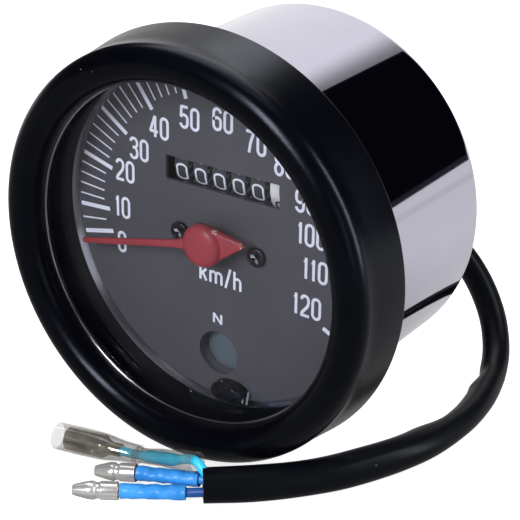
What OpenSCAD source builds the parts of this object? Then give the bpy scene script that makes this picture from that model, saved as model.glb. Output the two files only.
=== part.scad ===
// Round motorcycle speedometer: chrome cup, rubber bezel ring, magnet movement with a
// six drum odometer, two lamps and a sheathed wiring tail with bullet connectors.
// Pieces are drawn in the front view (x right, y up, z towards the rider, z = 0 on the
// rear face of the cup) and then turned, so that the dial faces -Y and +Z is up.

/* [Cup] */
// Outer radius of the chrome cup
case_r = 40; // [37:0.5:44]
// Wall of the cup
case_wall = 0.8; // [0.6:0.1:1.2]
// Radius of the rear edge
case_corner = 1.2; // [0.9:0.1:2]
// Width of the front flange
flange_w = 0.9; // [0.7:0.1:1.2]
// Thickness of the front flange
flange_t = 1.2; // [0.8:0.1:1.6]

/* [Window] */
// Gap left between pieces that seat on each other
seat_gap = 0.05; // [0.02:0.01:0.08]
// Thickness of the glass
glass_t = 2; // [1.5:0.1:2.5]
// Thickness of the gasket behind the glass
gasket_t = 1.7; // [1.4:0.1:2]
// Sheet thickness of the retaining ring
ring_t = 0.6; // [0.4:0.1:0.8]
// How far the retaining ring covers the glass
ring_cover = 3.4; // [2.5:0.1:4]
// Wall of the black sleeve between dial and glass
sleeve_t = 0.5; // [0.4:0.1:0.8]

/* [Rubber bezel] */
// Radius of the round front bead
bead_r = 4; // [3.5:0.1:4.3]
// Middle of the bead outside the cup radius
bead_out = 1.2; // [1:0.1:1.6]
// Middle of the bead in front of the retaining ring
bead_rise = 1.25; // [1:0.05:1.6]
// Length of rubber skirt behind the cup flange
skirt_len = 5.7; // [5:0.1:7]
// Flare of the skirt outside the cup radius
skirt_flare = 6.5; // [6:0.1:7]
// Height of the rim on the skirt's rear edge
skirt_rim = 0.9; // [0.6:0.1:1.4]

/* [Dial] */
// Thickness of the dial
dial_t = 0.8; // [0.5:0.1:1]
// Dial face behind the front of the cup
dial_drop = 7.6; // [7:0.1:8.5]
// Width of the odometer window
window_w = 28.8; // [28:0.2:29.4]
// Height of the odometer window
window_h = 5.4; // [4.6:0.1:6]
// Middle of the odometer window above the axis
window_y = 12.5; // [11.6:0.1:12.6]
// Middle of the odometer window right of the axis
window_x = 0.8; // [0:0.1:1]
// Radius of the neutral lamp hole
lens_hole_r = 5; // [4.4:0.1:5.4]
// Neutral lamp below the axis
lens_y = 27.7; // [27:0.1:28.4]
// Spacing of the two dial screws
dial_screw_span = 20; // [18:0.5:22]
// Dial screws below the axis
dial_screw_y = 1.8; // [1.4:0.1:2.2]
// Shank radius of the dial screws
dial_screw_r = 1.25; // [1:0.05:1.4]
// Width of the lamp hood
hood_w = 9; // [8:0.5:10]
// Height of the lamp hood in front of the dial
hood_rise = 3; // [2.4:0.1:3.6]

/* [Pointer] */
// Pointer tip radius
tip_r = 34.1; // [30:0.1:35]
// Pointer tail radius
tail_r = 10.1; // [9:0.1:11]
// Radius of the pointer hub
hub_r = 4.7; // [4:0.1:5]
// Pointer blade in front of the dial
pointer_rise = 4.6; // [4:0.1:5]
// Dial angle of the zero mark
zero_angle = 194; // [190:0.5:200]
// Travel of the pointer over the scale
sweep = 221.6; // [210:0.2:230]
// Radius of the spindle
spindle_r = 0.75; // [0.6:0.05:0.9]

/* [Odometer] */
// Radius of a number drum
drum_r = 7.6; // [7.2:0.1:7.8]
// Spacing of the drums
drum_pitch = 4.87; // [4.8:0.01:4.95]
// Width of a drum's number band
band_w = 3.6; // [3.4:0.1:3.7]
// Drum face behind the dial face
drum_drop = 2.5; // [2.2:0.1:3]
// Drums in front of the bridge
drum_gap = 0.95; // [0.8:0.05:3]
// Radius of the drum axle
drum_axle_r = 1.25; // [1:0.05:1.4]
// Radius of the carry pinion axle
pinion_axle_r = 0.8; // [0.6:0.05:0.9]
// Module of the carry teeth
carry_m = 0.68; // [0.67:0.005:0.69]

/* [Movement] */
// Radial clearance of a shaft in its hole
run_gap = 0.05; // [0.03:0.01:0.08]
// Radius of the drive shaft in its bush
drive_r = 2.5; // [2.3:0.05:2.6]
// Radius of the magnet
magnet_r = 9; // [8.4:0.1:9.2]
// Height of the magnet
magnet_h = 4.7; // [4:0.1:5]
// Air gap on each side of the drag cup
air_gap = 0.5; // [0.4:0.05:0.6]
// Wall of the drag cup
cup_wall = 0.4; // [0.3:0.05:0.5]
// Wall of the steel field cup
field_wall = 0.8; // [0.6:0.1:0.9]
// Thickness of the base plate
base_t = 2; // [1.6:0.1:2.2]
// Radius of the base plate
base_r = 30; // [29:0.5:32]
// Base plate to the front of the bridge
bridge_z = 17.8; // [17.6:0.1:18.4]
// Thickness of the bridge plate
bridge_t = 1.4; // [1:0.1:1.6]
// Module of the first worm pair
worm1_m = 0.36; // [0.34:0.01:0.37]
// Module of the second worm pair
worm2_m = 0.3; // [0.29:0.01:0.31]
// Radius of the upright and cross shafts
lay_r = 0.9; // [0.7:0.05:1]

/* [Rear] */
// Outer radius of the cable boss
boss_r = 6; // [5.5:0.1:6.5]
// Length of the cable boss behind the cup
boss_len = 11; // [9:0.5:14]
// Radius of the hole for the cable ferrule
ferrule_r = 4.2; // [4:0.05:4.4]
// Radius of the rear studs
stud_r = 3; // [2.5:0.1:3.2]
// Length of the rear studs
stud_len = 14; // [10:0.5:20]
// Spacing of the rear studs
stud_span = 44; // [42:1:46]
// Square of the cable drive
drive_square = 2.7; // [2.4:0.1:2.8]

/* [Lamps] */
// Radius of the neutral bulb
neutral_bulb_r = 3.5; // [3:0.1:4]
// Radius of the dial bulb
dial_bulb_r = 2.5; // [2:0.1:3]
// Wall of the neutral light tube
tube_wall = 0.8; // [0.6:0.1:1]

/* [Wiring] */
// Diameter of the black sheath
sheath_d = 7.5; // [6.5:0.1:7.5]
// Diameter of a lead
lead_d = 2; // [1.6:0.1:2.2]
// Diameter of a bullet connector
bullet_d = 3.9; // [3.5:0.1:4]
// Outer diameter of a connector boot
boot_d = 3.2; // [3:0.1:3.4]
// Wall of a connector boot
boot_wall = 0.4; // [0.3:0.05:0.5]
// Outer diameter of the clear sleeve
clear_d = 5.9; // [5.7:0.1:6.1]

/* [Hidden] */
$fn = 96;

// Movement, from the rear wall forwards
base_z = case_wall + seat_gap;
base_front = base_z + base_t;
bridge_front = base_front + bridge_z;
bridge_rear = bridge_front - bridge_t;
worm_r = 2.4;
worm2_r = 2;
wheel1_n = 20;
wheel2_n = 50;
spur_n = 26;
wheel1_r = worm1_m * wheel1_n / 2;
wheel2_r = worm2_m * wheel2_n / 2;
neck_r = worm_r - 1.4 * worm1_m;
journal_front = base_z + 0.2;
upright_x = worm_r + wheel1_r;
upright_z = base_z + wheel1_r + 0.9;
field_floor_z = upright_z + wheel1_r + 0.9;
field_floor_t = 1;
magnet_z = field_floor_z + field_floor_t;
drag_in_r = magnet_r + air_gap;
drag_out_r = drag_in_r + cup_wall;
field_in_r = drag_out_r + air_gap;
field_out_r = field_in_r + field_wall;
drag_rear = magnet_z + air_gap;
drag_front = magnet_z + magnet_h + 2 * air_gap + cup_wall;
spindle_rear = magnet_z + 1;
shaft_front = magnet_z + magnet_h;
collet_r = 1.4;
spring_z = drag_front + 0.7;
spring_h = 0.6;
spring_turns = 4;
spring_t = 0.2;
spring_out_r = 5.4;
stop_r = 8;
stop_pin_r = 0.6;
stop_gap = 10;
bridge_w = 56;
bridge_low = 16;
bridge_under = 4.2;

// Front, from the bridge forwards; the cup is as long as what it holds
flange_r = case_r + flange_w;
case_in_r = case_r - case_wall;
drum_z = bridge_front + drum_gap + drum_r;
dial_z = drum_z + drum_r + drum_drop;
case_len = dial_z + dial_drop;
gasket_z = case_len + seat_gap;
glass_z = gasket_z + gasket_t + seat_gap;
glass_front = glass_z + glass_t;
ring_front = glass_front + seat_gap + ring_t;
ring_in_r = flange_r + 3 * seat_gap;
ring_out_r = ring_in_r + ring_t;
glass_r = flange_r - flange_w / 2;
ring_lip_r = glass_r - ring_cover;
ring_rear = case_len - flange_t - seat_gap - ring_t;
bezel_rear = case_len - skirt_len;
bead_z = ring_front + bead_rise;
sleeve_out_r = case_in_r - 4 * seat_gap;
sleeve_in_r = sleeve_out_r - sleeve_t;
dial_rear = dial_z - dial_t;
dial_r = sleeve_out_r - 2 * seat_gap;

// Odometer
tooth_high = 0.85;
drum_y = window_y;
carry_gear_n = 20;
carry_pinion_n = 8;
carry_c = carry_m * (carry_gear_n + carry_pinion_n) / 2;
pinion_y = drum_y + carry_c;
side_w = 0.5;
gear_side_w = 1.2;
pinion_w = drum_pitch - band_w - 0.17;
lock_r = carry_m * (carry_gear_n / 2 - tooth_high) - 0.2;
tenths_x = window_x + 2.5 * drum_pitch;
spur_x = tenths_x + band_w / 2;
cross_z = upright_z + worm2_r + wheel2_r;
wheel2_w = 1.2;
wheel2_tip = wheel2_r + 0.85 * worm2_m;
field_edge = sqrt(pow(field_out_r, 2) - pow(upright_x - wheel2_w / 2, 2));
drum_reach = drum_r + wheel2_tip + 0.26;
cross_y = max(field_edge + wheel2_tip + 0.3,
    drum_y + sqrt(max(0, pow(drum_reach, 2) - pow(drum_z - cross_z, 2))));
spur_m = norm([drum_z - cross_z, cross_y - drum_y]) / spur_n;
bracket_t = 1;
bracket_right_x = spur_x + gear_side_w + 0.8;
bracket_left_x = window_x - 2.5 * drum_pitch - band_w / 2 - 1 - bracket_t;
post_x = upright_x - worm2_r - 2.4;
post_w = 1.8;

// Rear hardware
bush_wall = 0.9;
bush_out_r = drive_r + run_gap + bush_wall;
boss_flange_r = boss_r + 2;
boss_flange_t = 1.5;
square_depth = 6;
ferrule_len = 4;
shaft_rear = -boss_len + ferrule_len + 0.1;
grommet_x = 14;
grommet_y = -12;
grommet_r = 6.4;
grommet_neck_r = 5.4;
grommet_in = 2.4;
grommet_out = 3;
pillar_r = 2;
pillar_at = [[-24, -12], [24, -12], [-25.5, 6.5], [25.5, 6.5]];
frame_screw_at = [[-14, -12], [-14, 15], [15, 15]];
frame_screw_r = 1.5;
bridge_screw_r = 1.1;
foot_w = 5;
foot_h = 6.5;
foot_low = 1.5;
foot_mid = foot_low + foot_h / 2;
bracket_foot_at = [[bracket_left_x - foot_w / 2, foot_mid], [bracket_right_x + bracket_t + foot_w / 2, foot_mid]];
dial_post_at = [[-dial_screw_span / 2, -dial_screw_y], [dial_screw_span / 2, -dial_screw_y]];
stud_neck_r = stud_r + 0.4;
stud_head_r = stud_r + 1.8;
stud_head_h = 2.4;
stud_at = [[-stud_span / 2, 0], [stud_span / 2, 0]];

// Lamps
dial_lamp_inset = 6.9;
lens_at = [-0.5, -lens_y];
dial_lamp_at = [8.5, dial_lamp_inset - case_in_r];
hood_x = 3.2;
hood_top = 5.3;
hood_gap = 0.4;
hood_wall = 1;
hood_bevel = 1.4;
tube_in_r = lens_hole_r + 0.3;
lens_t = 1.6;
lens_recess = 2.2;
holder_h = 11;
bulb_h = 11;

// Wiring tail in the turned frame; the bezel and the tail rest on z = -46.5
sheath_route = [[14, 3, -12], [14, 9, -12], [15.4, 16.4, -13.4], [19, 21.8, -17.4], [24.4, 23.8, -23],
    [29.6, 23.4, -29], [34.2, 21, -35.2], [37.6, 16.6, -39.8], [40.2, 10.5, -42.2], [42.2, 4, -42.6],
    [43.8, -3.5, -42.6], [44.6, -11, -42.6], [44.2, -18, -42.6], [42.8, -25, -42.6], [40.3, -32, -42.6],
    [37, -39, -42.6], [33, -46, -42.6], [27.8, -52.6, -42.6], [22, -58.3, -42.6], [14, -64.8, -42.6]];
upper_route = [[31.9, -45.1, -42.8], [26.7, -51.6, -42.8], [21, -57.2, -42.7], [17, -60.9, -42.5],
    [13, -63.1, -42.5], [8, -64.6, -43], [2.7, -66.1, -43.5]];
lower_route = [[33.5, -46.4, -43.9], [28.3, -53.1, -43.9], [22.5, -58.8, -43.9], [15.2, -64.1, -44.1],
    [11, -66.6, -44.5], [6.9, -69.1, -44.5], [2.8, -71.7, -44.5]];
clear_route = [[33.3, -46.2, -41.2], [28.1, -52.8, -41.2], [22.4, -58, -41], [17, -62.8, -41.2],
    [14.2, -63.7, -40.4], [11.7, -63.4, -38.7], [5, -62.9, -40.6], [-4.4, -62.2, -43.2], [-11.5, -63.5, -43.3]];
upper_boot_ends = [[12.2, -63.4, -42.6], [-1, -67.2, -43.8]];
upper_bullet_ends = [[-1, -67.2, -43.8], [-9.5, -70.8, -44.4]];
lower_boot_ends = [[11, -66.6, -44.5], [-0.5, -73.8, -44.5]];
lower_bullet_ends = [[-0.5, -73.8, -44.5], [-8.8, -79, -44.5]];
clear_neck_ends = [[11.7, -63.4, -38.7], [-4.4, -62.2, -43.2]];
clear_body_ends = [[-4.4, -62.2, -43.2], [-24, -65.8, -43.4]];
female_len = 8.4;
female_wall = 0.45;
female_inset = 2.6;
barrel_len = 3.8;
crimp_z = 6.2;

function unit(v) = v / norm(v);
function tangent(p, i) = unit(p[min(i + 1, len(p) - 1)] - p[max(i - 1, 0)]);
function ring_points(c, t, r, n) =
    let (u = unit(cross(t, [0, 0, 1])), v = cross(u, t))
    [for (k = [0 : n - 1]) c + r * (cos(360 * k / n) * u + sin(360 * k / n) * v)];

// Tube of n sides along a list of points
module tube_along(route, r, n) {
    last = len(route) - 1;
    points = [for (i = [0 : last]) each ring_points(route[i], tangent(route, i), r, n)];
    sides = [for (i = [0 : last - 1], k = [0 : n - 1])
        let (a = i * n + k, b = i * n + (k + 1) % n)
        each [[a, b, b + n], [a, b + n, a + n]]];
    ends = [for (k = [1 : n - 2])
        each [[0, k + 1, k], [last * n, last * n + k, last * n + k + 1]]];
    polyhedron(points, concat(sides, ends));
}

// Turns the front view into the finished frame
module facing() { rotate([90, 0, 0]) children(); }

// Stands a shape that was drawn along z up along y
module upright() { rotate([-90, 0, 0]) children(); }

// Lays a shape that was drawn along z along x
module crosswise() { rotate([0, 90, 0]) children(); }

// Puts a shape that was drawn along z between two points of the finished frame
module between(ends) {
    d = ends[1] - ends[0];
    translate(ends[0])
        rotate([0, acos(d.z / norm(d)), atan2(d.y, d.x)])
            children();
}

// Ring of rectangular section
module hoop(r_in, r_out, z0, z1) {
    translate([0, 0, z0])
        difference() {
            cylinder(r = r_out, h = z1 - z0);
            translate([0, 0, -1]) cylinder(r = r_in, h = z1 - z0 + 2);
        }
}

// Straight toothed wheel without its bore
module toothed(n, m, w, slack) {
    r = m * n / 2;
    half = 90 / n - slack / 2 / r * 180 / PI;
    linear_extrude(height = w)
        polygon([for (i = [0 : n - 1], k = [[-1.45, -1.15], [-0.5, 0.85], [0.5, 0.85], [1.45, -1.15]])
            let (a = 360 * i / n + half * k[0], q = r + m * k[1])
            q * [cos(a), sin(a)]]);
}

// Single start right hand worm, its thread at angle 0 where z is a whole pitch
module worm(r, m, turns, slack) {
    pitch = PI * m;
    tip = (pitch / 2 - slack) / 2 - 0.36 * 0.85 * m;
    root = (pitch / 2 - slack) / 2 + 0.36 * 1.15 * m;
    flank = [360 * tip / pitch, 360 * root / pitch];
    steps = 6;
    rest = [for (i = [0 : steps]) flank[1] + (360 - 2 * flank[1]) * i / steps];
    linear_extrude(height = turns * pitch, twist = -360 * turns, slices = 15 * turns, $fn = 10)
        polygon([for (a = concat([-flank[0], 0, flank[0]], rest))
            let (q = abs(a) <= flank[0] ? r + 0.85 * m : r - 1.15 * m)
            q * [cos(a), sin(a)]]);
}

module at_each(list) {
    for (p = list)
        translate([p.x, p.y, 0]) children();
}

module case() {
    color("gainsboro") facing() difference() {
        union() {
            rotate_extrude() union() {
                square([case_r - case_corner, case_corner]);
                translate([case_r - case_corner, case_corner]) circle(r = case_corner);
                translate([0, case_corner]) square([case_r, case_len - case_corner]);
            }
            hoop(case_r - case_wall / 2, flange_r, case_len - flange_t, case_len);
        }
        translate([0, 0, case_wall]) cylinder(r = case_in_r, h = case_len);
        translate([0, 0, -1]) cylinder(r = boss_r + seat_gap, h = case_wall + 2);
        at_each(stud_at)
            translate([0, 0, -1]) cylinder(r = stud_neck_r + seat_gap, h = case_wall + 2);
        at_each(frame_screw_at)
            translate([0, 0, -1]) cylinder(r = frame_screw_r + seat_gap, h = case_wall + 2);
        translate([grommet_x, grommet_y, -1]) cylinder(r = grommet_neck_r + seat_gap, h = case_wall + 2);
    }
}

module rubber_bezel() {
    bead_ring_r = case_r + bead_out;
    flare_r = case_r + skirt_flare;
    grip_r = case_r + 3 * seat_gap;
    crease_z = bead_z - bead_r * 0.72;
    crease_r = bead_ring_r + bead_r * 0.76;
    color([0.07, 0.07, 0.08]) facing() rotate_extrude() difference() {
        union() {
            translate([bead_ring_r, bead_z]) circle(r = bead_r);
            polygon([[grip_r, bezel_rear], [flare_r - skirt_rim / 2, bezel_rear], [flare_r, bezel_rear + skirt_rim / 2],
                [flare_r, bezel_rear + skirt_rim], [flare_r - skirt_rim / 2, bezel_rear + 1.6 * skirt_rim],
                [crease_r, crease_z], [bead_ring_r, bead_z], [grip_r, bead_z]]);
        }
        translate([0, bezel_rear - 1]) square([grip_r, ring_front + seat_gap - bezel_rear + 1]);
        translate([0, ring_rear - seat_gap])
            square([ring_out_r + seat_gap, ring_front + 2 * seat_gap - ring_rear]);
    }
}

module retaining_ring() {
    color("silver") facing() rotate_extrude() union() {
        translate([ring_lip_r, ring_front - ring_t]) square([ring_out_r - ring_lip_r, ring_t]);
        translate([ring_in_r, ring_rear]) square([ring_t, ring_front - ring_rear]);
        translate([case_r + 2 * seat_gap, ring_rear]) square([ring_out_r - case_r - 2 * seat_gap, ring_t]);
    }
}

module glass() {
    color([0.8, 0.85, 0.85, 0.35]) facing()
        translate([0, 0, glass_z]) cylinder(r = glass_r, h = glass_t);
}

module glass_gasket() {
    color([0.12, 0.12, 0.12]) facing()
        hoop(case_in_r, flange_r, gasket_z, gasket_z + gasket_t);
}

module inner_sleeve() {
    color([0.05, 0.05, 0.05]) facing()
        hoop(sleeve_in_r, sleeve_out_r, dial_z + seat_gap, glass_z - seat_gap);
}

module dial() {
    color([0.28, 0.28, 0.3]) facing() translate([0, 0, dial_rear]) difference() {
        cylinder(r = dial_r, h = dial_t);
        translate([0, 0, -1]) cylinder(r = 2 * spindle_r, h = dial_t + 2);
        translate([window_x - window_w / 2, window_y - window_h / 2, -1]) cube([window_w, window_h, dial_t + 2]);
        translate([lens_at.x, lens_at.y, -1]) cylinder(r = lens_hole_r, h = dial_t + 2);
        at_each(dial_post_at)
            translate([0, 0, -1]) cylinder(r = dial_screw_r + seat_gap, h = dial_t + 2);
    }
}

module dial_screws() {
    color([0.1, 0.1, 0.1]) facing()
        at_each(dial_post_at)
            difference() {
                union() {
                    translate([0, 0, dial_z + seat_gap]) cylinder(r = 1.7 * dial_screw_r, h = 1.1);
                    translate([0, 0, dial_rear - 4]) cylinder(r = dial_screw_r, h = 4 + dial_t + 0.5);
                }
                for (a = [0, 90])
                    rotate([0, 0, a + 20])
                        translate([-1.2, -0.25, dial_z + 0.6]) cube([2.4, 0.5, 1]);
            }
}

module lamp_hood() {
    top_y = hood_top - sleeve_in_r;
    low_y = -sqrt(pow(sleeve_in_r - hood_gap, 2) - pow(hood_w / 2 + hood_x, 2));
    color([0.06, 0.06, 0.06]) facing() translate([hood_x, 0, dial_z + seat_gap])
        difference() {
            linear_extrude(height = hood_rise)
                polygon([[-hood_w / 2, low_y], [-hood_w / 2, top_y - hood_bevel], [-hood_w / 4, top_y],
                    [hood_w / 4, top_y], [hood_w / 2, top_y - hood_bevel], [hood_w / 2, low_y]]);
            translate([-hood_w / 2 + hood_wall, low_y - 1, -hood_wall])
                cube([hood_w - 2 * hood_wall, top_y - hood_bevel - low_y, hood_rise]);
        }
}

module light_tube() {
    color([0.1, 0.1, 0.1]) facing() translate([lens_at.x, lens_at.y, 0])
        hoop(tube_in_r, tube_in_r + tube_wall, base_front + holder_h + 4, dial_rear - seat_gap);
}

module neutral_lens() {
    color([0.3, 0.55, 0.55, 0.8]) facing()
        translate([lens_at.x, lens_at.y, dial_z - lens_recess - lens_t])
            cylinder(r = tube_in_r - seat_gap, h = lens_t);
}

// Lamp holder standing on the rear wall
module lamp_holder(r) {
    translate([0, 0, base_z]) {
        cylinder(r = r, h = holder_h - 2);
        cylinder(r = r * 0.8, h = holder_h);
    }
}

// Bulb on its holder, with a round end
module bulb(r) {
    translate([0, 0, base_z + holder_h + seat_gap]) {
        cylinder(r = r * 0.8, h = 2.5);
        translate([0, 0, 2]) cylinder(r = r, h = bulb_h - 2 - r);
        translate([0, 0, bulb_h - r]) sphere(r = r);
    }
}

module neutral_holder() {
    color([0.12, 0.12, 0.12]) facing()
        translate([lens_at.x, lens_at.y, 0]) lamp_holder(neutral_bulb_r + 0.7);
}

module neutral_bulb() {
    color([0.9, 0.9, 0.85, 0.5]) facing()
        translate([lens_at.x, lens_at.y, 0]) bulb(neutral_bulb_r);
}

module dial_lamp_holder() {
    color([0.12, 0.12, 0.12]) facing()
        translate([dial_lamp_at.x, dial_lamp_at.y, 0]) lamp_holder(dial_bulb_r + 0.7);
}

module dial_bulb() {
    color([0.9, 0.9, 0.85, 0.5]) facing()
        translate([dial_lamp_at.x, dial_lamp_at.y, 0]) bulb(dial_bulb_r);
}

module pointer() {
    z0 = dial_z + pointer_rise;
    color([0.75, 0.1, 0.12]) facing() difference() {
        union() {
            rotate([0, 0, zero_angle]) translate([0, 0, z0])
                linear_extrude(height = 0.8)
                    polygon([[-tail_r, 0.1], [-hub_r * 0.8, 1.6], [hub_r * 0.8, 0.9], [tip_r, 0.6],
                        [tip_r, -0.6], [hub_r * 0.8, -0.9], [-hub_r * 0.8, -1.6], [-tail_r, -0.1]]);
            translate([0, 0, z0 - 1]) cylinder(r = hub_r, h = 2.6);
            translate([0, 0, z0 + 1.6]) cylinder(r1 = hub_r, r2 = hub_r * 0.65, h = 1.5);
        }
        translate([0, 0, z0 - 2]) cylinder(r = spindle_r + seat_gap / 2, h = 3.2);
    }
}

module spindle() {
    color("silver") facing() {
        translate([0, 0, spindle_rear]) cylinder(r = spindle_r, h = dial_z + pointer_rise + 1 - spindle_rear);
        translate([0, 0, drag_front + 0.2]) cylinder(r = collet_r, h = spring_z + spring_h - drag_front);
    }
}

module drag_cup() {
    color("lightgray") facing() difference() {
        union() {
            hoop(drag_in_r, drag_out_r, drag_rear, drag_front);
            translate([0, 0, drag_front - cup_wall]) cylinder(r = drag_out_r, h = cup_wall);
            rotate([0, 0, zero_angle]) translate([stop_r - 0.6, -0.6, drag_front - cup_wall / 2]) cube([1.2, 1.2, 1]);
        }
        translate([0, 0, drag_rear]) cylinder(r = spindle_r + seat_gap / 2, h = drag_front);
    }
}

// Flat spiral from the collet to its anchor on the bridge
module hairspring() {
    r0 = collet_r + seat_gap;
    rise = (spring_out_r - r0 - spring_t) / (360 * spring_turns);
    steps = 24 * spring_turns;
    turns = [for (i = [0 : steps]) 360 * spring_turns * i / steps];
    color("peru") facing() {
        translate([0, 0, spring_z])
            linear_extrude(height = spring_h)
                polygon(concat([for (a = turns) (r0 + rise * a) * [cos(a), sin(a)]],
                    [for (i = [steps : -1 : 0]) let (a = turns[i]) (r0 + spring_t + rise * a) * [cos(a), sin(a)]]));
        translate([spring_out_r - spring_t / 2 - 0.5, -0.5, spring_z])
            cube([1.5, 1, bridge_rear - seat_gap - spring_z]);
    }
}

module bridge_plate() {
    color("darkkhaki") facing() {
        translate([0, 0, bridge_rear]) difference() {
            translate([-bridge_w / 2, -bridge_low, 0])
                cube([bridge_w, bridge_low + drum_y - drum_r + bridge_under, bridge_t]);
            translate([0, 0, -1]) cylinder(r = spindle_r + run_gap + 1.2 + seat_gap, h = bridge_t + 2);
            at_each(concat(pillar_at, bracket_foot_at, dial_post_at))
                translate([0, 0, -1]) cylinder(r = bridge_screw_r + seat_gap, h = bridge_t + 2);
        }
        for (a = [zero_angle + stop_gap, zero_angle - sweep - stop_gap])
            translate([stop_r * cos(a), stop_r * sin(a), drag_front + 0.1])
                cylinder(r = stop_pin_r, h = bridge_rear - drag_front, $fn = 24);
    }
}

module spindle_bush() {
    color("goldenrod") facing() {
        hoop(spindle_r + run_gap, spindle_r + run_gap + 1.2, bridge_rear - 0.1, bridge_front + 1);
        hoop(spindle_r + run_gap, spindle_r + run_gap + 2.2, bridge_front + seat_gap, bridge_front + 1);
    }
}

module pillars() {
    color("silver") facing() at_each(pillar_at)
        difference() {
            translate([0, 0, base_front + seat_gap])
                cylinder(r = pillar_r, h = bridge_rear - base_front - 2 * seat_gap, $fn = 48);
            translate([0, 0, bridge_rear - 6]) cylinder(r = bridge_screw_r + seat_gap, h = 7, $fn = 48);
        }
}

module bridge_screws() {
    color("dimgray") facing() {
        at_each(pillar_at) {
            translate([0, 0, bridge_front + seat_gap]) cylinder(r = 2, h = 1.2, $fn = 48);
            translate([0, 0, bridge_rear - 4]) cylinder(r = bridge_screw_r, h = 4.5 + bridge_t, $fn = 48);
        }
        at_each(bracket_foot_at) {
            translate([0, 0, bridge_front + bracket_t + 2 * seat_gap]) cylinder(r = 2, h = 1.2, $fn = 48);
            translate([0, 0, bridge_rear - 1]) cylinder(r = bridge_screw_r, h = 1.5 + bridge_t + bracket_t, $fn = 48);
        }
    }
}

module dial_posts() {
    color("silver") facing() at_each(dial_post_at)
        difference() {
            union() {
                translate([0, 0, bridge_front + seat_gap])
                    cylinder(r = 2.2, h = dial_rear - bridge_front - 2 * seat_gap, $fn = 48);
                translate([0, 0, bridge_rear]) cylinder(r = bridge_screw_r, h = bridge_t + 1, $fn = 48);
            }
            translate([0, 0, dial_rear - 5]) cylinder(r = dial_screw_r + seat_gap, h = 6, $fn = 48);
        }
}

// Bearing block for the upright shaft
module upright_block(y0) {
    translate([upright_x - 2, y0, base_z + 0.2])
        difference() {
            cube([4, 2, upright_z + lay_r + 1 - base_z]);
            translate([2, -1, upright_z - base_z - 0.2])
                rotate([-90, 0, 0]) cylinder(r = lay_r + run_gap, h = 4);
        }
}

module base_plate() {
    color("darkgray") facing() difference() {
        union() {
            translate([0, 0, base_z]) intersection() {
                cylinder(r = base_r, h = base_t);
                translate([-base_r, -18, -1]) cube([2 * base_r, base_r + 18, base_t + 2]);
            }
            upright_block(-6.2);
            upright_block(6);
            upright_block(cross_y + 4.6);
            translate([post_x - post_w / 2, cross_y - 2, base_z + 0.2])
                cube([post_w, 4, cross_z + lay_r + 1 - base_z]);
        }
        translate([post_x - post_w, cross_y, cross_z])
            crosswise() cylinder(r = lay_r + run_gap, h = 2 * post_w);
        translate([0, 0, base_z - 1]) cylinder(r = bush_out_r + seat_gap, h = base_t + 2);
        translate([upright_x - wheel1_r - 1, -1.4, base_z - 1]) cube([2 * wheel1_r + 2, 2.8, base_t + 2]);
        translate([grommet_x, grommet_y, base_z - 1]) cylinder(r = grommet_r + 0.6, h = base_t + 2);
        at_each(stud_at)
            translate([0, 0, base_z - 1]) cylinder(r = stud_neck_r + seat_gap, h = base_t + 2);
        at_each(frame_screw_at)
            translate([0, 0, base_z - 1]) cylinder(r = frame_screw_r + seat_gap, h = base_t + 2, $fn = 48);
    }
}

module cable_boss() {
    color("silver") facing() difference() {
        union() {
            translate([0, 0, -boss_len]) cylinder(r = boss_r, h = boss_len + case_wall);
            translate([0, 0, -boss_flange_t - seat_gap]) cylinder(r = boss_flange_r, h = boss_flange_t);
        }
        translate([0, 0, -boss_len - 1]) cylinder(r = ferrule_r, h = ferrule_len + 1);
        translate([0, 0, -boss_len]) cylinder(r = bush_out_r + seat_gap, h = boss_len + 2 * case_wall);
    }
}

module drive_bush() {
    color("goldenrod") facing()
        hoop(drive_r + run_gap, bush_out_r, shaft_rear + 1, journal_front);
}

module drive_shaft() {
    turns = 4;
    color("lightsteelblue") facing() difference() {
        union() {
            translate([0, 0, shaft_rear]) cylinder(r = drive_r, h = journal_front + 0.1 - shaft_rear);
            translate([0, 0, shaft_rear]) cylinder(r = neck_r, h = shaft_front - shaft_rear);
            translate([0, 0, shaft_rear]) cylinder(r = bush_out_r - 0.2, h = 0.9);
            translate([0, 0, upright_z - turns * PI * worm1_m / 2]) worm(worm_r, worm1_m, turns, 0.13);
        }
        translate([-drive_square / 2, -drive_square / 2, shaft_rear - 1])
            cube([drive_square, drive_square, square_depth + 1]);
        translate([0, 0, spindle_rear - 0.5]) cylinder(r = spindle_r + run_gap, h = magnet_h + 1);
    }
}

module magnet() {
    color("dimgray") facing() hoop(neck_r, magnet_r, magnet_z + seat_gap, magnet_z + magnet_h);
}

module field_cup() {
    color("slategray") facing() {
        hoop(neck_r, field_out_r, field_floor_z, field_floor_z + field_floor_t);
        hoop(field_in_r, field_out_r, field_floor_z, magnet_z + magnet_h);
    }
}

module upright_shaft() {
    turns = 6;
    color("lightsteelblue") facing() translate([upright_x, 0, upright_z]) upright() {
        translate([0, 0, -7]) cylinder(r = lay_r, h = cross_y + 14.4);
        translate([0, 0, -0.8]) rotate([0, 0, 180 / wheel1_n]) toothed(wheel1_n, worm1_m, 1.6, 0.13);
        translate([0, 0, cross_y - turns * PI * worm2_m / 2]) rotate([0, 0, -90]) worm(worm2_r, worm2_m, turns, 0.1);
    }
}

module cross_shaft() {
    mesh_angle = atan2(drum_y - cross_y, cross_z - drum_z);
    color("lightsteelblue") facing() translate([0, cross_y, cross_z]) crosswise() {
        translate([0, 0, post_x - post_w / 2 - 0.3])
            cylinder(r = lay_r, h = bracket_right_x + bracket_t + 0.3 - post_x + post_w / 2 + 0.3);
        translate([0, 0, upright_x - wheel2_w / 2]) rotate([0, 0, 180 / wheel2_n]) toothed(wheel2_n, worm2_m, wheel2_w, 0.1);
        translate([0, 0, spur_x]) rotate([0, 0, mesh_angle]) toothed(spur_n, spur_m, gear_side_w, 0.1);
    }
}

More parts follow.
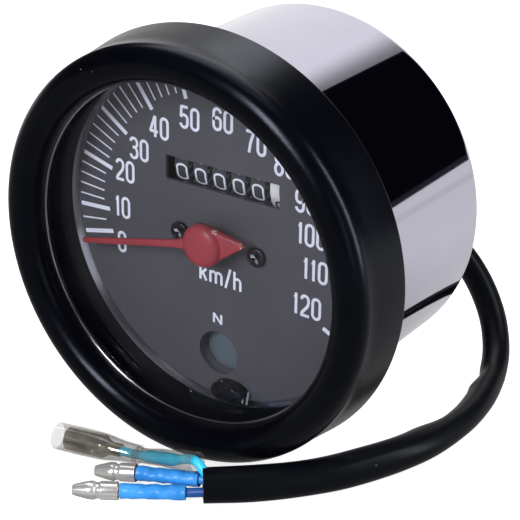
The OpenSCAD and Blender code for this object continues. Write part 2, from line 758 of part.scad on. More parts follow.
// Side plate outline in depth and height, with the reach to the cross shaft where asked
module odometer_bracket(reach) {
    top = pinion_y + 2.6;
    shelf = bridge_front + seat_gap;
    outline = concat([[shelf, 1], [drum_z - 3, 1], [drum_z + 2.6, drum_y - 4], [drum_z + 2.6, top], [drum_z - 2.6, top]],
        reach ? [[drum_z - 2.6, cross_y + 3], [cross_z - 2.6, cross_y + 3], [cross_z - 2.6, cross_y - 3], [shelf, 9]]
              : [[shelf, 9]]);
    difference() {
        crosswise() linear_extrude(height = bracket_t) polygon([for (p = outline) [-p[0], p[1]]]);
        translate([-1, drum_y, drum_z]) crosswise() cylinder(r = drum_axle_r + seat_gap, h = bracket_t + 2);
        translate([-1, pinion_y, drum_z]) crosswise() cylinder(r = pinion_axle_r + seat_gap, h = bracket_t + 2);
        if (reach)
            translate([-1, cross_y, cross_z]) crosswise() cylinder(r = lay_r + run_gap, h = bracket_t + 2);
    }
}

// Foot of a side plate, screwed to the bridge
module bracket_foot(x0) {
    difference() {
        translate([x0, foot_low, bridge_front + seat_gap]) cube([foot_w, foot_h, bracket_t]);
        at_each(bracket_foot_at)
            translate([0, 0, bridge_front - 1]) cylinder(r = bridge_screw_r + seat_gap, h = bracket_t + 3);
    }
}

module odometer_bracket_left() {
    color("darkkhaki") facing() {
        translate([bracket_left_x, 0, 0]) odometer_bracket(false);
        bracket_foot(bracket_left_x - foot_w + 0.01);
    }
}

module odometer_bracket_right() {
    color("darkkhaki") facing() {
        translate([bracket_right_x, 0, 0]) odometer_bracket(true);
        bracket_foot(bracket_right_x + bracket_t - 0.01);
    }
}

module odometer_axle() {
    color("silver") facing() translate([bracket_left_x - 0.5, drum_y, drum_z])
        crosswise() cylinder(r = drum_axle_r, h = bracket_right_x + bracket_t - bracket_left_x + 1);
}

module pinion_axle() {
    color("silver") facing() translate([bracket_left_x - 0.5, pinion_y, drum_z])
        crosswise() cylinder(r = pinion_axle_r, h = bracket_right_x + bracket_t - bracket_left_x + 1);
}

// Number drum k, counted from the tenths: carry gear on its right, lock disc on its left
module drum(k) {
    mesh_angle = atan2(drum_y - cross_y, cross_z - drum_z);
    facing() translate([tenths_x - k * drum_pitch, drum_y, drum_z]) crosswise() difference() {
        union() {
            translate([0, 0, -band_w / 2]) cylinder(r = drum_r, h = band_w);
            if (k == 0) translate([0, 0, band_w / 2])
                rotate([0, 0, mesh_angle + 180 + 180 / spur_n]) toothed(spur_n, spur_m, gear_side_w, 0.1);
            if (k > 0) translate([0, 0, band_w / 2]) toothed(carry_gear_n, carry_m, side_w, 0.12);
            if (k < 5) translate([0, 0, -band_w / 2 - side_w]) {
                cylinder(r = lock_r, h = side_w);
                for (a = [126, 144])
                    rotate([0, 0, a]) translate([lock_r - 0.4, -0.35, 0]) cube([1.2, 0.7, side_w]);
            }
        }
        translate([0, 0, -band_w]) cylinder(r = drum_axle_r + run_gap, h = 3 * band_w);
    }
}

module drum_tenths() { color("whitesmoke") drum(0); }
module drum_units() { color([0.1, 0.1, 0.1]) drum(1); }
module drum_tens() { color([0.1, 0.1, 0.1]) drum(2); }
module drum_hundreds() { color([0.1, 0.1, 0.1]) drum(3); }
module drum_thousands() { color([0.1, 0.1, 0.1]) drum(4); }
module drum_ten_thousands() { color([0.1, 0.1, 0.1]) drum(5); }

// Carry pinion k, between drums k - 1 and k
module carry_pinion(k) {
    x = tenths_x - (k - 0.5) * drum_pitch;
    color("ivory") facing() translate([x - pinion_w / 2, pinion_y, drum_z]) crosswise() difference() {
        rotate([0, 0, 180 / carry_pinion_n]) toothed(carry_pinion_n, carry_m, pinion_w, 0.12);
        translate([0, 0, -1]) cylinder(r = pinion_axle_r + run_gap, h = pinion_w + 2);
    }
}

module carry_pinion_1() { carry_pinion(1); }
module carry_pinion_2() { carry_pinion(2); }
module carry_pinion_3() { carry_pinion(3); }
module carry_pinion_4() { carry_pinion(4); }
module carry_pinion_5() { carry_pinion(5); }

module rear_studs() {
    color("silver") facing() at_each(stud_at) {
        translate([0, 0, -stud_len]) cylinder(r = stud_r, h = stud_len);
        cylinder(r = stud_neck_r, h = base_front + 0.5);
        translate([0, 0, base_front + seat_gap]) cylinder(r = stud_head_r, h = stud_head_h);
    }
}

module frame_screws() {
    color("silver") facing() at_each(frame_screw_at)
        difference() {
            union() {
                translate([0, 0, -1.8]) cylinder(r = 2 * frame_screw_r, h = 1.8 - seat_gap);
                translate([0, 0, -1]) cylinder(r = frame_screw_r, h = 1 + base_front, $fn = 48);
            }
            for (a = [0, 90])
                rotate([0, 0, a + 30]) translate([-1.8, -0.4, -2.8]) cube([3.6, 0.8, 1.8]);
        }
}

module wiring_grommet() {
    color([0.08, 0.08, 0.08]) facing() translate([grommet_x, grommet_y, 0]) difference() {
        union() {
            translate([0, 0, -grommet_out]) cylinder(r = grommet_neck_r, h = grommet_out + grommet_in);
            translate([0, 0, -grommet_out]) cylinder(r = grommet_r, h = grommet_out - seat_gap);
            translate([0, 0, case_wall + seat_gap]) cylinder(r = grommet_r, h = grommet_in - case_wall - seat_gap);
        }
        translate([0, 0, -grommet_out - 1]) cylinder(r = sheath_d / 2 - 0.6, h = grommet_out + grommet_in + 2);
    }
}

module wiring_sheath() { color([0.06, 0.06, 0.07]) tube_along(sheath_route, sheath_d / 2, 10); }
module lead_upper() { color("dodgerblue") tube_along(upper_route, lead_d / 2, 8); }
module lead_lower() { color("royalblue") tube_along(lower_route, lead_d / 2, 8); }
module lead_clear() { color("deepskyblue") tube_along(clear_route, lead_d / 2, 8); }

// Male bullet: crimp barrel in the boot, grooved body and tapered tip
module bullet(ends) {
    l = norm(ends[1] - ends[0]);
    r = bullet_d / 2;
    barrel_r = boot_d / 2 - boot_wall - seat_gap;
    color("silver") between(ends) difference() {
        rotate_extrude() polygon([[0, -barrel_len], [barrel_r, -barrel_len], [barrel_r, 0.3],
            [r, 0.3], [r, l * 0.4], [r - 0.3, l * 0.43], [r - 0.3, l * 0.5], [r, l * 0.53], [r, l * 0.66],
            [r * 0.58, l - 0.2], [r * 0.5, l], [0, l]]);
        hoop(boot_d / 2 - boot_wall, r - 0.35, -0.5, 2);
    }
}

module bullet_upper() { bullet(upper_bullet_ends); }
module bullet_lower() { bullet(lower_bullet_ends); }

// Boot over the crimp of a bullet
module boot(ends) {
    l = norm(ends[1] - ends[0]);
    color("dodgerblue") between(ends) hoop(boot_d / 2 - boot_wall, boot_d / 2, 0, l);
}

module boot_upper() { boot(upper_boot_ends); }
module boot_lower() { boot(lower_boot_ends); }

// Clear sleeve: narrow over the lead, wide over the socket
module clear_sleeve() {
    body_len = norm(clear_body_ends[1] - clear_body_ends[0]);
    neck_len = norm(clear_neck_ends[1] - clear_neck_ends[0]);
    bore_r = bullet_d / 2 + seat_gap + female_wall + seat_gap;
    neck_in_r = lead_d / 2 + 0.45;
    color([0.8, 0.8, 0.8, 0.5]) difference() {
        union() {
            between(clear_body_ends) cylinder(r = clear_d / 2, h = body_len);
            between(clear_neck_ends) cylinder(r = neck_in_r + boot_wall, h = neck_len + 1);
        }
        between(clear_body_ends) translate([0, 0, 1.5]) cylinder(r = bore_r, h = body_len);
        between(clear_body_ends) cylinder(r = neck_in_r, h = 3);
        between(clear_neck_ends) translate([0, 0, -1]) cylinder(r = neck_in_r, h = neck_len + 1.6);
    }
}

// Socket for a bullet, with the crimp for its lead behind it
module socket() {
    body_len = norm(clear_body_ends[1] - clear_body_ends[0]);
    bore_r = bullet_d / 2 + seat_gap;
    rear = body_len - female_inset - female_len;
    color("rosybrown") between(clear_body_ends) difference() {
        union() {
            translate([0, 0, rear]) cylinder(r = bore_r + female_wall, h = female_len);
            translate([0, 0, crimp_z]) cylinder(r = lead_d / 2 + 0.3, h = rear - crimp_z + 0.5);
        }
        translate([0, 0, rear + 1]) cylinder(r = bore_r, h = female_len);
        translate([0, 0, rear + 2]) rotate([0, 90, 0]) cylinder(r = 0.6, h = 4, $fn = 32);
    }
}

case();
rubber_bezel();
retaining_ring();
glass();
glass_gasket();
inner_sleeve();
dial();
dial_screws();
lamp_hood();
neutral_lens();
light_tube();
neutral_bulb();
neutral_holder();
dial_bulb();
dial_lamp_holder();
pointer();
spindle();
drag_cup();
hairspring();
bridge_plate();
spindle_bush();
pillars();
bridge_screws();
dial_posts();
base_plate();
cable_boss();
drive_bush();
drive_shaft();
magnet();
field_cup();
upright_shaft();
cross_shaft();
odometer_bracket_left();
odometer_bracket_right();
odometer_axle();
drum_tenths();
drum_units();
drum_tens();
drum_hundreds();
drum_thousands();
drum_ten_thousands();
pinion_axle();
carry_pinion_1();
carry_pinion_2();
carry_pinion_3();
carry_pinion_4();
carry_pinion_5();
rear_studs();
frame_screws();
wiring_grommet();
wiring_sheath();
lead_upper();
lead_lower();
lead_clear();
bullet_upper();
bullet_lower();
boot_upper();
boot_lower();
clear_sleeve();
socket();
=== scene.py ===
import math
import bmesh
import bpy
import numpy as np
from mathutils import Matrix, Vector


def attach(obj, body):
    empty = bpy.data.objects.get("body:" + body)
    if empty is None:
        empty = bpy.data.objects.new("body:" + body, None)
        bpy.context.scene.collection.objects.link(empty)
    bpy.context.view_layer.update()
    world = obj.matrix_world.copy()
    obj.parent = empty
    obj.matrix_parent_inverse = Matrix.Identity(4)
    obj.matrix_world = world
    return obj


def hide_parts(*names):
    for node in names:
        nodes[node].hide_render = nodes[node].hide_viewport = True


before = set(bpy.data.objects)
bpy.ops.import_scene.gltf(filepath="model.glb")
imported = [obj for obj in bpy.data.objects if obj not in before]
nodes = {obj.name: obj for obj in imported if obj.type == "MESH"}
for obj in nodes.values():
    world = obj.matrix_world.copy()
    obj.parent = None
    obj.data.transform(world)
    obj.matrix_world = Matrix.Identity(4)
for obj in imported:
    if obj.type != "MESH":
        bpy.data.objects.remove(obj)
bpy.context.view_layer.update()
scene = bpy.context.scene
scene.view_settings.view_transform = "Standard"
mm = 0.001
tau = 2 * np.pi
print("frame loaded:", len(nodes), "nodes")


# camera, from the fit to the photo; metres
view = {"place": (0.2006, -0.3118, 0.1559), "target": (0.0088, -0.0370, -0.0040), "lens": 123.85, "sensor": 36.0}


def aimed(obj, place, target):
    obj.location = place
    obj.rotation_euler = (Vector(target) - Vector(place)).to_track_quat("-Z", "Y").to_euler()
    scene.collection.objects.link(obj)
    return obj


lensData = bpy.data.cameras.new("camera")
lensData.lens = view["lens"]
lensData.sensor_width = view["sensor"]
lensData.clip_start = 0.01
scene.camera = aimed(bpy.data.objects.new("camera", lensData), view["place"], view["target"])


# a shader socket that takes part in sums
class Shade:
    def __init__(self, tree, socket=None):
        self.tree, self.socket = tree, socket

    def node(self, kind, settings={}, sockets={}, out=0):  # settings first, then values or links
        made = self.tree.nodes.new("ShaderNode" + kind)
        for key, value in settings.items():
            setattr(made, key, value)
        for key, value in sockets.items():
            if isinstance(value, Shade):
                self.tree.links.new(value.socket, made.inputs[key])
            else:
                made.inputs[key].default_value = value
        return Shade(self.tree, made.outputs[out] if len(made.outputs) else None)

    def sum(self, operation, a, b):
        return self.node("Math", {"operation": operation}, {0: a, 1: b})

    def __add__(self, other): return self.sum("ADD", self, other)
    def __radd__(self, other): return self.sum("ADD", other, self)
    def __sub__(self, other): return self.sum("SUBTRACT", self, other)
    def __rsub__(self, other): return self.sum("SUBTRACT", other, self)
    def __mul__(self, other): return self.sum("MULTIPLY", self, other)
    def __rmul__(self, other): return self.sum("MULTIPLY", other, self)
    def __truediv__(self, other): return self.sum("DIVIDE", self, other)
    def __rtruediv__(self, other): return self.sum("DIVIDE", other, self)
    def __or__(self, other): return self.sum("MAXIMUM", self, other)
    def __pow__(self, other): return self.sum("POWER", self, other)

    def ramp(self, low, high):  # 0 below low, 1 above high
        return self.node("MapRange", {"interpolation_type": "SMOOTHSTEP"},
                         {"Value": self, "From Min": low, "From Max": high})

    def blend(self, a, b):  # colour a where self is 0, b where it is 1
        return self.node("Mix", {"data_type": "RGBA"}, {0: self, 6: a, 7: b}, 2)


def rgb(red, green, blue):
    return (red, green, blue, 1.0)


def newTree(name):
    mat = bpy.data.materials.new(name)
    mat.use_nodes = True
    mat.node_tree.nodes.clear()
    return mat, Shade(mat.node_tree)


def noise(s, at, scale, detail=3.0, rough=0.55):
    return s.node("TexNoise", {}, {"Vector": at, "Scale": scale, "Detail": detail, "Roughness": rough})


def specks(s, at, scale, size, share):  # round dots in some of the cells
    cell = {"Vector": at, "Scale": scale}
    near = s.node("TexVoronoi", {}, cell, "Distance")
    tone = s.node("TexVoronoi", {}, cell, "Color")
    pick = s.node("SeparateColor", {}, {0: tone}, 0)
    big = s.node("SeparateColor", {}, {0: tone}, 1)
    return (1 - (near / (0.4 + big)).ramp(size * 0.6, size)) * (1 - pick.ramp(share - 0.02, share + 0.02))


def finish(name, spec):
    mat, s = newTree(name)
    at = s.node("TexCoord", out="UV" if spec.get("uv") else "Object")
    solid = s.node("TexCoord", out="Object")
    if spec.get("stretch"):
        at = s.node("Mapping", {}, {"Vector": at, "Scale": spec["stretch"]})
    broad = noise(s, solid, spec.get("broad", 60), 3.0)
    fine = noise(s, at, spec.get("fine", 900), 4.0, 0.6)
    tone = broad.ramp(0.35, 0.65).blend(rgb(*spec["a"]), rgb(*spec["b"]))
    rough = spec["rough"][0] + (spec["rough"][1] - spec["rough"][0]) * (0.6 * broad + 0.4 * fine)
    if "streak" in spec:
        tone = fine.ramp(0.44, 0.62).blend(tone, rgb(*spec["streak"]))
    if "dust" in spec:
        dust = specks(s, solid, *spec["dust"][:3]) * spec["dust"][4]
        tone = dust.blend(tone, rgb(*spec["dust"][3]))
        rough = rough + 0.4 * dust
    for x, y, z, size in spec.get("chips", []):  # beige spots at given points, in mm
        away = s.node("VectorMath", {"operation": "DISTANCE"}, {0: solid, 1: (x * mm, y * mm, z * mm)}, "Value")
        chip = (1 - away.ramp(0.3 * size * mm, size * mm)) * noise(s, solid, 1500, 2.0).ramp(0.46, 0.56)
        tone = chip.blend(tone, rgb(*spec["bare"]))
    if "film" in spec:  # pale bloom left by handling
        film = noise(s, solid, spec["film"][0], 6.0, 0.65).ramp(0.48, 0.78) * spec["film"][1]
        tone = film.blend(tone, rgb(*spec["film"][2]))
    height = fine
    if "pit" in spec:  # coarse moulding or casting skin
        height = fine + spec["pit"][1] * noise(s, solid, spec["pit"][0], 2.0)
    sockets = {"Base Color": tone, "Roughness": rough, "Metallic": spec.get("metal", 0.0),
               "Specular Tint": rgb(*spec.get("glint", (1, 1, 1))), "Specular IOR Level": spec.get("spec", 0.5),
               "Coat Weight": spec.get("coat", 0.0), "Coat Roughness": 0.1}
    if spec["bump"]:
        strength, depth = spec["bump"]
        sockets["Normal"] = s.node("Bump", {}, {"Height": height, "Strength": strength, "Distance": depth})
    skin = s.node("BsdfPrincipled", {}, sockets)
    s.node("OutputMaterial", {}, {"Surface": skin})
    return mat


def clearFinish(name, spec):  # sees through, with gloss that grows towards the edge
    mat, s = newTree(name)
    at = s.node("TexCoord", out="Object")
    haze = noise(s, at, spec["broad"], 4.0)
    facing = s.node("LayerWeight", {}, {"Blend": 0.5}, "Facing")
    edge = spec["shine"][0] + spec["shine"][1] * facing ** 4.0
    bare = s.node("BsdfTransparent", {}, {"Color": rgb(*spec["tint"])})
    rough = spec["rough"][0] + spec["rough"][1] * haze
    gloss = s.node("BsdfPrincipled", {}, {"Base Color": rgb(*spec["film"]), "Metallic": 1.0, "Roughness": rough})
    milk = s.node("BsdfPrincipled", {}, {"Base Color": rgb(*spec["milk"]), "Roughness": 0.5})
    veil = spec["veil"][0] + spec["veil"][1] * haze.ramp(0.4, 0.7)
    body = s.node("MixShader", {}, {0: veil, 1: bare, 2: milk})
    both = s.node("MixShader", {}, {0: edge, 1: body, 2: gloss})
    s.node("OutputMaterial", {}, {"Surface": both})
    return mat


def look(a, b, rough, **more):  # two tones, the roughness from smooth to worn, and what else differs
    return {"a": a, "b": b, "rough": rough, "bump": (0.1, 0.0002), **more}


finishes = {
    "chrome": look((0.62, 0.605, 0.71), (0.59, 0.58, 0.68), (0.02, 0.07), metal=1.0, broad=40,
                   dust=(260, 0.05, 0.06, (0.35, 0.34, 0.36), 0.5), bump=None),
    "bezelRubber": look((0.0012, 0.0014, 0.0026), (0.0016, 0.0018, 0.0034), (0.18, 0.30), spec=0.18,
                        glint=(0.80, 0.85, 1.0), fine=2600, bump=(0.10, 0.0002), pit=(420, 0.6),
                        dust=(330, 0.06, 0.10, (0.30, 0.29, 0.30), 0.7)),
    "nickel": look((0.66, 0.65, 0.64), (0.58, 0.57, 0.56), (0.10, 0.26), metal=1.0, fine=1500, bump=(0.05, 0.0002),
                   film=(300, 0.25, (0.20, 0.19, 0.18))),
    "sleeveBlack": look((0.002, 0.002, 0.004), (0.003, 0.003, 0.005), (0.30, 0.40), spec=0.012, fine=300,
                        dust=(300, 0.05, 0.05, (0.25, 0.25, 0.27), 0.6), bump=None),
    "tubeGrey": look((0.078, 0.078, 0.090), (0.094, 0.094, 0.106), (0.4, 0.55), bump=(0.08, 0.0002)),
    "plasticBlack": look((0.002, 0.002, 0.003), (0.004, 0.004, 0.006), (0.2, 0.35), spec=0.2, bump=(0.12, 0.0003)),
    "footMetal": look((0.56, 0.56, 0.61), (0.48, 0.48, 0.53), (0.20, 0.32), metal=1.0, fine=1200, bump=(0.05, 0.0002)),
    "dialPaint": look((0.075, 0.072, 0.083), (0.083, 0.079, 0.091), (0.55, 0.75), spec=0.3, fine=3200,
                      bump=(0.12, 0.0002), dust=(210, 0.035, 0.05, (0.3, 0.3, 0.31), 0.5)),
    "whiteInk": look((0.82, 0.84, 0.94), (0.74, 0.76, 0.86), (0.5, 0.65), fine=2500, bump=(0.08, 0.0001)),
    "blackInk": look((0.012, 0.012, 0.012), (0.02, 0.02, 0.02), (0.5, 0.7), bump=(0.08, 0.0001)),
    "screwBlack": look((0.08, 0.08, 0.085), (0.12, 0.12, 0.13), (0.30, 0.44), metal=1.0, fine=2200, bump=(0.2, 0.0002)),
    "needleRed": look((0.33, 0.042, 0.052), (0.29, 0.034, 0.044), (0.32, 0.46), spec=0.4, fine=1800,
                      # beige spots at the tail's tip and beside the hub
                      bump=(0.06, 0.0002), chips=[(9.7, -44.6, 2.3, 1.3), (3.0, -44.9, 3.9, 1.1)],
                      bare=(0.62, 0.44, 0.34)),
    "lens": look((0.085, 0.115, 0.135), (0.115, 0.150, 0.175), (0.2, 0.35), coat=0.3),
    "steel": look((0.58, 0.58, 0.58), (0.48, 0.48, 0.48), (0.2, 0.38), metal=1.0),
    "aluminium": look((0.72, 0.72, 0.73), (0.64, 0.64, 0.65), (0.3, 0.45), metal=1.0),
    "bronze": look((0.58, 0.36, 0.16), (0.48, 0.28, 0.12), (0.25, 0.42), metal=1.0),
    "brass": look((0.72, 0.53, 0.22), (0.62, 0.44, 0.18), (0.24, 0.42), metal=1.0),
    "dieCast": look((0.42, 0.42, 0.43), (0.34, 0.34, 0.35), (0.4, 0.6), metal=0.9, pit=(900, 0.8), bump=(0.25, 0.0004)),
    "magnetIron": look((0.10, 0.10, 0.11), (0.14, 0.14, 0.15), (0.35, 0.55), metal=0.7, bump=(0.2, 0.0003)),
    "drumWhite": look((0.80, 0.80, 0.79), (0.72, 0.72, 0.71), (0.45, 0.6), bump=(0.08, 0.0002)),
    "drumBlack": look((0.056, 0.056, 0.062), (0.064, 0.064, 0.070), (0.45, 0.6), spec=0.3, bump=(0.08, 0.0002)),
    "zinc": look((0.66, 0.66, 0.64), (0.56, 0.57, 0.54), (0.2, 0.4), metal=1.0, film=(260, 0.3, (0.36, 0.34, 0.26))),
    "rubberMatt": look((0.016, 0.016, 0.017), (0.026, 0.026, 0.027), (0.5, 0.7), spec=0.3, fine=1800,
                       bump=(0.25, 0.0003)),
    "sheathVinyl": look((0.0025, 0.003, 0.0045), (0.0035, 0.004, 0.006), (0.28, 0.42), spec=0.10, uv=True,
                        stretch=(3.0, 90.0, 1.0), fine=1.0, bump=(0.04, 0.0003),
                        dust=(300, 0.05, 0.05, (0.30, 0.30, 0.32), 0.6)),
    "blueVinyl": look((0.046, 0.34, 0.84), (0.024, 0.27, 0.74), (0.30, 0.44), broad=220, bump=(0.08, 0.0003)),
    "darkBlueVinyl": look((0.010, 0.09, 0.36), (0.008, 0.07, 0.28), (0.25, 0.4), broad=200, bump=(0.08, 0.0003)),
    "cyanVinyl": look((0.06, 0.72, 0.98), (0.04, 0.62, 0.92), (0.25, 0.4), broad=200, bump=(0.08, 0.0003)),
    "tinPlate": look((0.98, 0.96, 0.94), (0.92, 0.89, 0.86), (0.14, 0.26), metal=0.68, fine=1.0, broad=240, uv=True,
                     stretch=(16.0, 2.0, 1.0), streak=(0.70, 0.65, 0.60), bump=(0.04, 0.0002)),
    "dullNickel": look((0.60, 0.53, 0.34), (0.88, 0.80, 0.62), (0.12, 0.24), metal=0.8, fine=1.0, uv=True,
                       stretch=(11.0, 0.6, 1.0), streak=(0.08, 0.068, 0.034), broad=160, bump=(0.05, 0.0002)),
    "blackBrass": look((0.006, 0.006, 0.007), (0.012, 0.011, 0.011), (0.35, 0.5), metal=0.5),
}
clears = {
    "glass": {"broad": 30, "shine": (0.02, 0.34), "tint": (0.97, 0.97, 0.98), "film": (0.92, 0.93, 1),
              "rough": (0.0, 0.02), "milk": (0.5, 0.5, 0.52), "veil": (0.0, 0.008)},
    "bulbGlass": {"broad": 80, "shine": (0.04, 0.8), "tint": (0.95, 0.95, 0.92), "film": (1, 1, 1),
                  "rough": (0.02, 0.03), "milk": (0.6, 0.6, 0.55), "veil": (0.02, 0.05)},
    "clearVinyl": {"broad": 180, "shine": (0.04, 0.7), "tint": (0.84, 0.83, 0.82), "film": (0.95, 0.95, 0.95),
                   "rough": (0.04, 0.12), "milk": (0.74, 0.72, 0.74), "veil": (0.02, 0.07)},
}
paints = {name: finish(name, spec) for name, spec in finishes.items()}
paints.update({name: clearFinish(name, spec) for name, spec in clears.items()})
print("finishes:", len(paints))


# grids of points become meshes
def quads(rows, cols, wrapRows, wrapCols):
    i = np.arange(rows if wrapRows else rows - 1)[:, None]
    j = np.arange(cols if wrapCols else cols - 1)[None, :]
    up, on = (i + 1) % rows, (j + 1) % cols
    return np.stack([i * cols + j, up * cols + j, up * cols + on, i * cols + on], -1).reshape(-1, 4)


# one grid: its corners in mm, its faces, its row and column shares
def gridPart(points, wrapRows=False, wrapCols=False):
    rows, cols = points.shape[:2]
    u, v = np.meshgrid(np.linspace(0, 1, rows), np.linspace(0, 1, cols), indexing="ij")
    return points.reshape(-1, 3), quads(rows, cols, wrapRows, wrapCols), np.stack([u, v], -1).reshape(-1, 2)


def piece(name, parts, paint, body="housing", stands=(), closed=True, sharp=40):
    starts = np.cumsum([0] + [len(p[0]) for p in parts[:-1]])
    co = np.concatenate([p[0] for p in parts]) * mm
    faces = np.concatenate([p[1] + n for p, n in zip(parts, starts)])
    uv = np.concatenate([p[2] for p in parts])
    mesh = bpy.data.meshes.new(name)
    mesh.vertices.add(len(co))
    mesh.vertices.foreach_set("co", co.astype(np.float32).ravel())
    mesh.loops.add(faces.size)
    mesh.loops.foreach_set("vertex_index", faces.astype(np.int32).ravel())
    mesh.polygons.add(len(faces))
    mesh.polygons.foreach_set("loop_start", np.arange(0, faces.size, faces.shape[1], dtype=np.int32))
    mesh.update(calc_edges=True)
    mesh.uv_layers.new(name="along").data.foreach_set("uv", uv[faces.ravel()].astype(np.float32).ravel())
    made = bmesh.new()
    made.from_mesh(mesh)
    if closed:  # poles and seams meet, faces point out
        bmesh.ops.remove_doubles(made, verts=made.verts, dist=2e-7)
        bmesh.ops.recalc_face_normals(made, faces=made.faces)
    made.to_mesh(mesh)
    made.free()
    mesh.polygons.foreach_set("use_smooth", np.ones(len(mesh.polygons), dtype=bool))
    mesh.set_sharp_from_angle(angle=math.radians(sharp))
    mesh.materials.append(paints[paint])
    obj = bpy.data.objects.new(name, mesh)
    scene.collection.objects.link(obj)
    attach(obj, body)
    if stands:
        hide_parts(*stands)
    return obj


def rounded(corners, radius, steps=6):  # each corner becomes a short curve from edge to edge
    p = np.array(corners, float)
    r = np.broadcast_to(np.asarray(radius, float), (len(p),))[:, None]
    a, b = np.roll(p, 1, 0) - p, np.roll(p, -1, 0) - p
    la, lb = np.linalg.norm(a, axis=1)[:, None], np.linalg.norm(b, axis=1)[:, None]
    start, end = p + a / la * np.minimum(r, la / 2), p + b / lb * np.minimum(r, lb / 2)
    t = np.linspace(0, 1, steps)[None, :, None]
    return ((1 - t) ** 2 * start[:, None] + 2 * t * (1 - t) * p[:, None] + t ** 2 * end[:, None]).reshape(-1, 2)


# (radius, depth) goes round the Y axis: x = r cos t, y = -depth, z = r sin t
def lathe(profile, steps=192, centre=(0, 0)):
    t = np.linspace(0, tau, steps, endpoint=False)[:, None]
    r, depth = profile[None, :, 0], profile[None, :, 1]
    grid = np.stack([centre[0] + r * np.cos(t), -depth + 0 * t, centre[1] + r * np.sin(t)], -1)
    return gridPart(grid, True, True)


def arc(centreR, centreD, radius, first, last, steps):  # points of a circle, angles in degrees
    t = np.radians(np.linspace(first, last, steps))
    return np.stack([centreR + radius * np.cos(t), centreD + radius * np.sin(t)], -1)


def axisFrame(ends):  # start, length, then side, up and along directions of the line between two points
    a, b = np.array(ends[0], float), np.array(ends[1], float)
    w = (b - a) / np.linalg.norm(b - a)
    u = np.cross(w, (0, 0, 1))
    u /= np.linalg.norm(u)
    return a, np.linalg.norm(b - a), u, np.cross(u, w), w


# (radius, distance along) goes round the line; shape changes the radius
def turned(ends, profile, steps=64, shape=None):
    a, _, u, v, w = axisFrame(ends)
    t = np.linspace(0, tau, steps, endpoint=False)[:, None]
    r, along = profile[None, :, 0] + 0 * t, profile[None, :, 1] + 0 * t
    if shape:
        r = shape(r, along, t)
    grid = a + (r * np.cos(t))[..., None] * u + (r * np.sin(t))[..., None] * v + along[..., None] * w
    return gridPart(grid, True, True)


def smooth(x, low, high):  # 0 to 1 between low and high
    s = np.clip((x - low) / (high - low), 0, 1)
    return s * s * (3 - 2 * s)


def hump(x, middle, width):  # bell curve
    return np.exp(-((x - middle) / width) ** 2)


def threaded(r, along, t, first, last, pitch, depth):  # a V thread that climbs one pitch a turn and fades at both ends
    phase = (along / pitch - t / tau) % 1.0
    fade = smooth(along, first, first + pitch) * (1 - smooth(along, last - pitch, last))
    return r - depth * fade * np.abs(2 * phase - 1)


# cords: the route's points are those of the part's source, in mm
sheath = {"route": [[14, 3, -12], [14, 9, -12], [15.4, 16.4, -13.4], [19, 21.8, -17.4], [24.4, 23.8, -23],
                    [29.6, 23.4, -29], [34.2, 21, -35.2], [37.6, 16.6, -39.8], [40.2, 10.5, -42.2], [42.2, 4, -42.6],
                    [43.8, -3.5, -42.6], [44.6, -11, -42.6], [44.2, -18, -42.6], [42.8, -25, -42.6], [40.3, -32, -42.6],
                    [37, -39, -42.6], [33, -46, -42.6], [27.8, -52.6, -42.6], [22, -58.3, -42.6], [14, -64.8, -42.6]],
          "radius": 3.75, "slim": 3.1, "wall": 0.55,  # then folds: share of the length, height, width
          "folds": [(0.655, 0.7, 0.03), (0.60, -0.35, 0.02), (0.475, 0.4, 0.015), (0.435, -0.55, 0.018)]}
leads = {
    "upper": {"route": [[31.9, -45.1, -42.8], [26.7, -51.6, -42.8], [21, -57.2, -42.7], [17, -60.9, -42.5],
                        [13, -63.1, -42.5], [8, -64.6, -43], [2.7, -66.1, -43.5]],
              "paint": "blueVinyl", "slot": "blue_vinyl"},
    "lower": {"route": [[33.5, -46.4, -43.9], [28.3, -53.1, -43.9], [22.5, -58.8, -43.9], [15.2, -64.1, -44.1],
                        [11, -66.6, -44.5], [6.9, -69.1, -44.5], [2.8, -71.7, -44.5]],
              "paint": "darkBlueVinyl", "slot": "dark_blue_vinyl"},
    "clear": {"route": [[33.3, -46.2, -41.2], [28.1, -52.8, -41.2], [22.4, -58, -41], [17, -62.8, -41.2],
                        [14.2, -63.7, -40.4], [11.7, -63.4, -38.7], [5, -62.9, -40.6], [-4.4, -62.2, -43.2],
                        [-11.5, -63.5, -43.3]],
              "paint": "cyanVinyl", "slot": "cyan_vinyl", "swell": 0.36},
}


def curveThrough(points, steps):  # cubic pieces through the points, their slopes from the neighbours on each side
    p = np.array(points, float)
    d = np.linalg.norm(np.diff(p, axis=0), axis=1)
    s = np.concatenate([[0], np.cumsum(d)])
    m = np.gradient(p, s, axis=0)
    at = np.linspace(0, s[-1], steps)
    k = np.clip(np.searchsorted(s, at, side="right") - 1, 0, len(d) - 1)
    h = d[k][:, None]
    t = ((at - s[k]) / d[k])[:, None]
    return ((1 + 2 * t) * (1 - t) ** 2 * p[k] + t * (1 - t) ** 2 * h * m[k]
            + t ** 2 * (3 - 2 * t) * p[k + 1] + t ** 2 * (t - 1) * h * m[k + 1])


